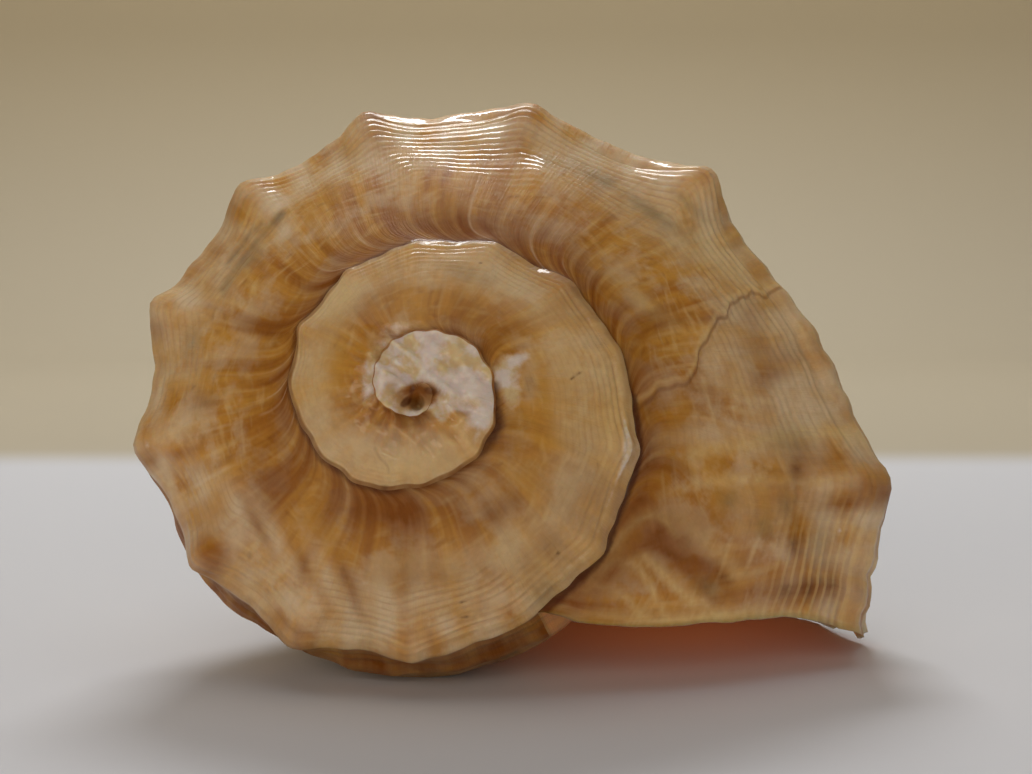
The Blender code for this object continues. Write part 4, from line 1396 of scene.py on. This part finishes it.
ridge = node(tree, "Math", {"operation": "COSINE"}, {0: node(tree, "Math", TIMES, {0: cord, 1: 2.0 * np.pi})})
broken = node(tree, "MapRange", {}, {"Value": noise["clouds"], "From Min": 0.4, "From Max": 0.6})
not_worn = node(tree, "MapRange", SOFT_STEP,
                {"Value": along, "From Min": WORN_BEFORE[0], "From Max": WORN_BEFORE[1]})
on_veil = node(tree, "Math", TIMES, {0: veil, 1: node(tree, "Math", TIMES, {0: broken, 1: not_worn})})
near_lip = node(tree, "MapRange", SOFT_STEP, {"Value": along, "From Min": -1.5, "From Max": -0.5})
near_shoulder = node(tree, "MapRange", SOFT_STEP, {"Value": across, "From Min": -1.3, "From Max": -0.6})
on_new_shell = node(tree, "Math", TIMES, {0: near_lip, 1: near_shoulder})
STRIPES = [(-0.2, -1.0, 0.26, on_veil, GROOVE), (0.1, 0.9, 0.3, on_new_shell, CREAM)]
for begin, end, strength, where, tone in STRIPES:
    stripe = node(tree, "MapRange", SOFT_STEP,
                  {"Value": ridge, "From Min": begin, "From Max": end, "To Max": strength})
    held = node(tree, "Math", TIMES, {0: stripe, 1: where})
    colour = node(tree, "Mix", RGBA, {"Factor": held, "A": colour, "B": tone})
print("the oldest cords fade between", np.round(WORN_BEFORE, 1), "cm along the shoulder")

# %% Pale growth lines
# Each line has a turn, a share of the ramp and half a width in mm. It starts at the suture and fades out from
# 4 mm to 1 mm before that share.
PALE_LINES = [(-0.617, 1.0, 0.14), (-0.585, 0.75, 0.12), (-0.571, 0.6, 0.10), (-0.545, 0.55, 0.10),
              (-0.432, 0.5, 0.12), (-0.389, 0.5, 0.14), (-0.296, 0.55, 0.12), (-0.245, 0.5, 0.16),
              (-0.216, 0.45, 0.12)]
RAMP_LENGTH = 0.62

wobble = node(tree, "Math", TIMES_PLUS, {0: noise["blotches"], 1: 0.06, 2: -0.03})
wobbled = node(tree, "Math", PLUS, {0: along, 1: wobble})
for turn, end, half in PALE_LINES:
    off = node(tree, "Math", {"operation": "SUBTRACT"}, {0: wobbled, 1: float(arc(turn)) / CM})
    on_line = node(tree, "MapRange", SOFT_STEP, {"Value": node(tree, "Math", SIZE_OF, {0: off}),
                                                 "From Min": half / 3.0, "From Max": 0.0, "To Max": 0.34})
    stop = -0.1 * float(shoulder_radius(np.array([turn]))[0]) * RAMP_LENGTH * (1.0 - end)
    up_to_end = node(tree, "MapRange", {}, {"Value": across, "From Min": stop - 0.1, "From Max": stop - 0.4})
    where = node(tree, "Math", TIMES, {0: up_to_end, 1: broken})
    held = node(tree, "Math", TIMES, {0: on_line, 1: where})
    colour = node(tree, "Mix", RGBA, {"Factor": held, "A": colour, "B": PALE_LINE})
print("pale growth lines:", len(PALE_LINES))

# %% Line of the break, with painted shadow and painted light
past_wobbled = node(tree, "Math", PLUS, {0: past, 1: wobble})
# The dark line is painted shadow of the step at the break.
break_line = node(tree, "MapRange", SOFT_STEP, {"Value": node(tree, "Math", SIZE_OF, {0: past_wobbled}),
                                                "From Min": 0.030, "From Max": 0.004, "To Max": 0.45})
colour = node(tree, "Mix", RGBA, {"Factor": break_line, "A": colour, "B": BREAK_SHADOW_BROWN})
# The pale edge is painted light on the raised rim before the break.
before_line = node(tree, "Math", SIZE_OF, {0: node(tree, "Math", PLUS, {0: past_wobbled, 1: 0.06})})
painted_lit_rim = node(tree, "MapRange", SOFT_STEP,
                 {"Value": before_line, "From Min": 0.04, "From Max": 0.0, "To Max": 0.25})
colour = node(tree, "Mix", RGBA, {"Factor": painted_lit_rim, "A": colour, "B": CREAM})
print("nodes up to the break:", len(tree.nodes))

# %% Chalk, stains, painted shade and the mouth
chalk_noise = node(tree, "TexNoise", {}, {"Vector": on_object, "Scale": 480.0, "Detail": 3.0})
chalk_share = node(tree, "MapRange", SOFT_STEP, {"Value": chalk_noise, "From Min": 0.45, "From Max": 0.62})
chalk = node(tree, "Mix", RGBA, {"Factor": chalk_share, "A": CHALK, "B": WORN_CHALK})
fine_shift = node(tree, "Math", TIMES_PLUS, {0: noise["grain"], 1: 1.1, 2: -0.55})
# The brown marks are stains, and along the sutures and in their crevices also painted shade.
MARKS = [(white, 0.2, 0.9, chalk), (brown, 0.15, 0.95, STAIN_AND_SHADE)]
for value, begin, end, tone in MARKS:
    rough_value = node(tree, "Math", TIMES_PLUS, {0: fine_shift, 1: 0.5, 2: value})
    full = node(tree, "MapRange", SOFT_STEP,
                {"Value": rough_value, "From Min": begin, "From Max": end, "To Max": 0.85})
    present = node(tree, "MapRange", {}, {"Value": value, "From Min": 0.0, "From Max": 0.15})
    held = node(tree, "Math", TIMES, {0: full, 1: present})
    colour = node(tree, "Mix", RGBA, {"Factor": held, "A": colour, "B": tone})
mouth_share = node(tree, "MapRange", SOFT_STEP, {"Value": inside, "From Min": 0.2, "From Max": 0.9})
colour = node(tree, "Mix", RGBA, {"Factor": mouth_share, "A": colour, "B": MOUTH})
grey_grain = node(tree, "ValToRGB", inputs={"Fac": noise["grain"]})
colour = node(tree, "Mix", RGBA | {"blend_type": "MULTIPLY"}, {"Factor": 0.25, "A": colour, "B": grey_grain})
tree.links.new(colour, surface.inputs["Base Color"])
print("nodes up to the colour:", len(tree.nodes))

# %% Relief too fine for the mesh, and the gloss
SHINE = {"IOR": 1.5, "Specular IOR Level": 0.12, "Coat Roughness": 0.05, "Subsurface Weight": 0.4,
         "Subsurface Radius": (1.0, 0.4, 0.15), "Subsurface Scale": 0.005}

striae_height = node(tree, "Math", TIMES_PLUS, {0: noise["beads"], 1: 0.4, 2: noise["striae"]})
grain_height = node(tree, "Math", TIMES, {0: noise["grain"], 1: 0.25})
line_height = node(tree, "Math", TIMES, {0: break_line, 1: -1.5})
fine_height = node(tree, "Math", PLUS, {0: striae_height, 1: grain_height})
height = node(tree, "Math", PLUS, {0: fine_height, 1: line_height})
bump = node(tree, "Bump", {}, {"Strength": 0.55, "Distance": 0.00012, "Height": height})
tree.links.new(bump, surface.inputs["Normal"])
rough = node(tree, "MapRange", {}, {"Value": noise["blotches"], "From Min": 0.3, "From Max": 0.7,
                                    "To Min": 0.4, "To Max": 0.6})
for value, more in ((white, 0.22), (amber, 0.12)):
    rough = node(tree, "Math", TIMES_PLUS, {0: value, 1: more, 2: rough})
tree.links.new(rough, surface.inputs["Roughness"])
varnish = node(tree, "MapRange", {}, {"Value": amber, "To Min": 0.5, "To Max": 0.04})
tree.links.new(varnish, surface.inputs["Coat Weight"])
for name, value in SHINE.items():
    surface.inputs[name].default_value = value
mesh.materials.append(calcite)
print("nodes in the finish:", len(tree.nodes))

# %% [markdown]
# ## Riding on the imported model
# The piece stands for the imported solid, which stays in the physics model only.

# %% Riding and replacing
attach(shell, "root")
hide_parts("whelk_shell")
print("the piece", shell.name, "replaces whelk_shell")

# %% [markdown]
# ## Table and wall
# The shell lies on a pale table, matt as paper, with a plain warm wall far behind it. The table and the wall
# are one bent sheet, so no hard edge shows, and their colours meet in a soft border just behind the shell,
# because the photograph's background is out of focus.

# %% Table and wall in one sheet
SHEET_NEAR, SHEET_FAR, SHEET_BEND, SHEET_TOP = -0.6, 0.42, 0.12, 1.0
SHEET_HALF_WIDTH = 1.1
FLAT_PART, BEND_PART = 0.5, 0.2
SHEET_CELLS = (12, 120)


def sheet_profile(part):
    """Profile of the backdrop: flat up to the bend, then a quarter circle, then straight up."""
    angle = np.clip((part - FLAT_PART) / BEND_PART, 0.0, 1.0) * np.pi / 2
    y = SHEET_NEAR + (SHEET_FAR - SHEET_NEAR) * np.minimum(part / FLAT_PART, 1.0)
    upright = np.clip((part - FLAT_PART - BEND_PART) / (1.0 - FLAT_PART - BEND_PART), 0.0, 1.0)
    return y + SHEET_BEND * np.sin(angle), SHEET_BEND * (1.0 - np.cos(angle)) + SHEET_TOP * upright


y, z = sheet_profile(np.linspace(0.0, 1.0, SHEET_CELLS[1]))
x = np.linspace(-SHEET_HALF_WIDTH, SHEET_HALF_WIDTH, SHEET_CELLS[0])[:, None]
sheet_points = np.stack(np.broadcast_arrays(x, y, z), axis=-1)
sheet_numbers = np.arange(x.size * y.size).reshape(SHEET_CELLS)
table_mesh = bpy.data.meshes.new("table_and_wall")
table_mesh.from_pydata(sheet_points.reshape(-1, 3).tolist(), [], corners_of(sheet_numbers).tolist())
table_mesh.shade_smooth()
table = bpy.data.objects.new("table_and_wall", table_mesh)
bpy.context.scene.collection.objects.link(table)
print("backdrop, m:", sheet_points.min(axis=(0, 1)).round(2), "to", sheet_points.max(axis=(0, 1)).round(2))

# %% Paint of the table and the wall
TABLE_COLOUR = linear("#d4d6dc")
WALL_COLOUR = linear("#b8ae98")
HIGH_WALL_COLOUR = linear("#c6b48d")
paint = bpy.data.materials.new("matt_paper_and_paint")
paint.use_nodes = True
paint_tree = paint.node_tree
paint_surface = paint_tree.nodes["Principled BSDF"]
on_sheet = node(paint_tree, "TexCoord").node.outputs["Object"]
_, far_away, above = node(paint_tree, "SeparateXYZ", inputs={"Vector": on_sheet}).node.outputs
paint_colour = TABLE_COLOUR
for value, begin, end, tone in ((far_away, 0.138, 0.172, WALL_COLOUR), (above, 0.0, 0.25, HIGH_WALL_COLOUR)):
    beyond = node(paint_tree, "MapRange", SOFT_STEP, {"Value": value, "From Min": begin, "From Max": end})
    paint_colour = node(paint_tree, "Mix", RGBA, {"Factor": beyond, "A": paint_colour, "B": tone})
paint_surface.inputs["Roughness"].default_value = 0.75
paint_tree.links.new(paint_colour, paint_surface.inputs["Base Color"])
table_mesh.materials.append(paint)
print("nodes in the paint:", len(paint_tree.nodes))

# %% [markdown]
# ## Light and camera
# A broad window above and behind puts the glitter on the cords at the top and a soft dark shadow in front and
# under the lip. A pale ceiling and a broad warm light from the room in front fill the shadows. A small orange
# lamp inside the mouth stands for the light that comes through the thin shell, because it glows a little
# under the lip in the photograph and this model's inner whorls are solid.

# %% Lights
AIM = Vector((0.0, 0.0, 0.03))
GLOW_POWER = 0.0014
GLOW_RADIUS = 0.008
GLOW_TURN = 0.07


def window(name, place, size, power, colour):
    """A rectangular area light that faces the shell, as a window does."""
    lamp = bpy.data.lights.new(name, "AREA")
    lamp.shape = "RECTANGLE"
    lamp.size, lamp.size_y = size
    lamp.energy = power
    lamp.color = linear(colour)[:3]
    holder = bpy.data.objects.new(name, lamp)
    holder.location = place
    holder.rotation_euler = (AIM - Vector(place)).to_track_quat("-Z", "Y").to_euler()
    bpy.context.scene.collection.objects.link(holder)


window("window_above_behind", (-0.02, 0.46, 0.56), (0.30, 0.14), 2.3, "#ffffff")
window("ceiling", (-0.05, -0.05, 0.75), (0.9, 0.7), 1.2, "#ffffff")
window("room_from_the_front", (-0.16, -0.85, 0.26), (0.9, 0.5), 4.0, "#fff0de")
glow = bpy.data.lights.new("glow_through_the_shell", "POINT")
glow.energy = GLOW_POWER
glow.shadow_soft_size = GLOW_RADIUS
glow.color = linear("#ff8a2a")[:3]
glow_holder = bpy.data.objects.new("glow_through_the_shell", glow)
glow_place = hollow_ring(HOLLOW_CENTRE[None], HOLLOW_CENTRE[None], np.zeros((1, 1)), GLOW_TURN)
glow_holder.location = (METRES * lying(glow_place)[0]).tolist()
bpy.context.scene.collection.objects.link(glow_holder)
print("glow inside the mouth at", [round(v, 4) for v in glow_holder.location])

# %% Room around
world = bpy.data.worlds.new("soft_room")
world.use_nodes = True
world.node_tree.nodes["Background"].inputs["Color"].default_value = linear("#efe9df")
world.node_tree.nodes["Background"].inputs["Strength"].default_value = 0.13
bpy.context.scene.world = world
bpy.context.scene.view_settings.view_transform = "Standard"

# %% Camera
SENSOR = 36.0
lens = bpy.data.cameras.new("photograph_view")
lens.sensor_width = SENSOR
lens.lens = SENSOR * FOCAL_PIXELS / PICTURE[0]
lens.clip_start = 0.01
camera = bpy.data.objects.new("photograph_view", lens)
camera.location = Vector((METRES * CAMERA_PLACE).tolist())
camera.rotation_euler = (np.pi / 2 - PITCH, 0.0, 0.0)
bpy.context.scene.collection.objects.link(camera)
bpy.context.scene.camera = camera
print("lens:", round(lens.lens, 2), "mm")
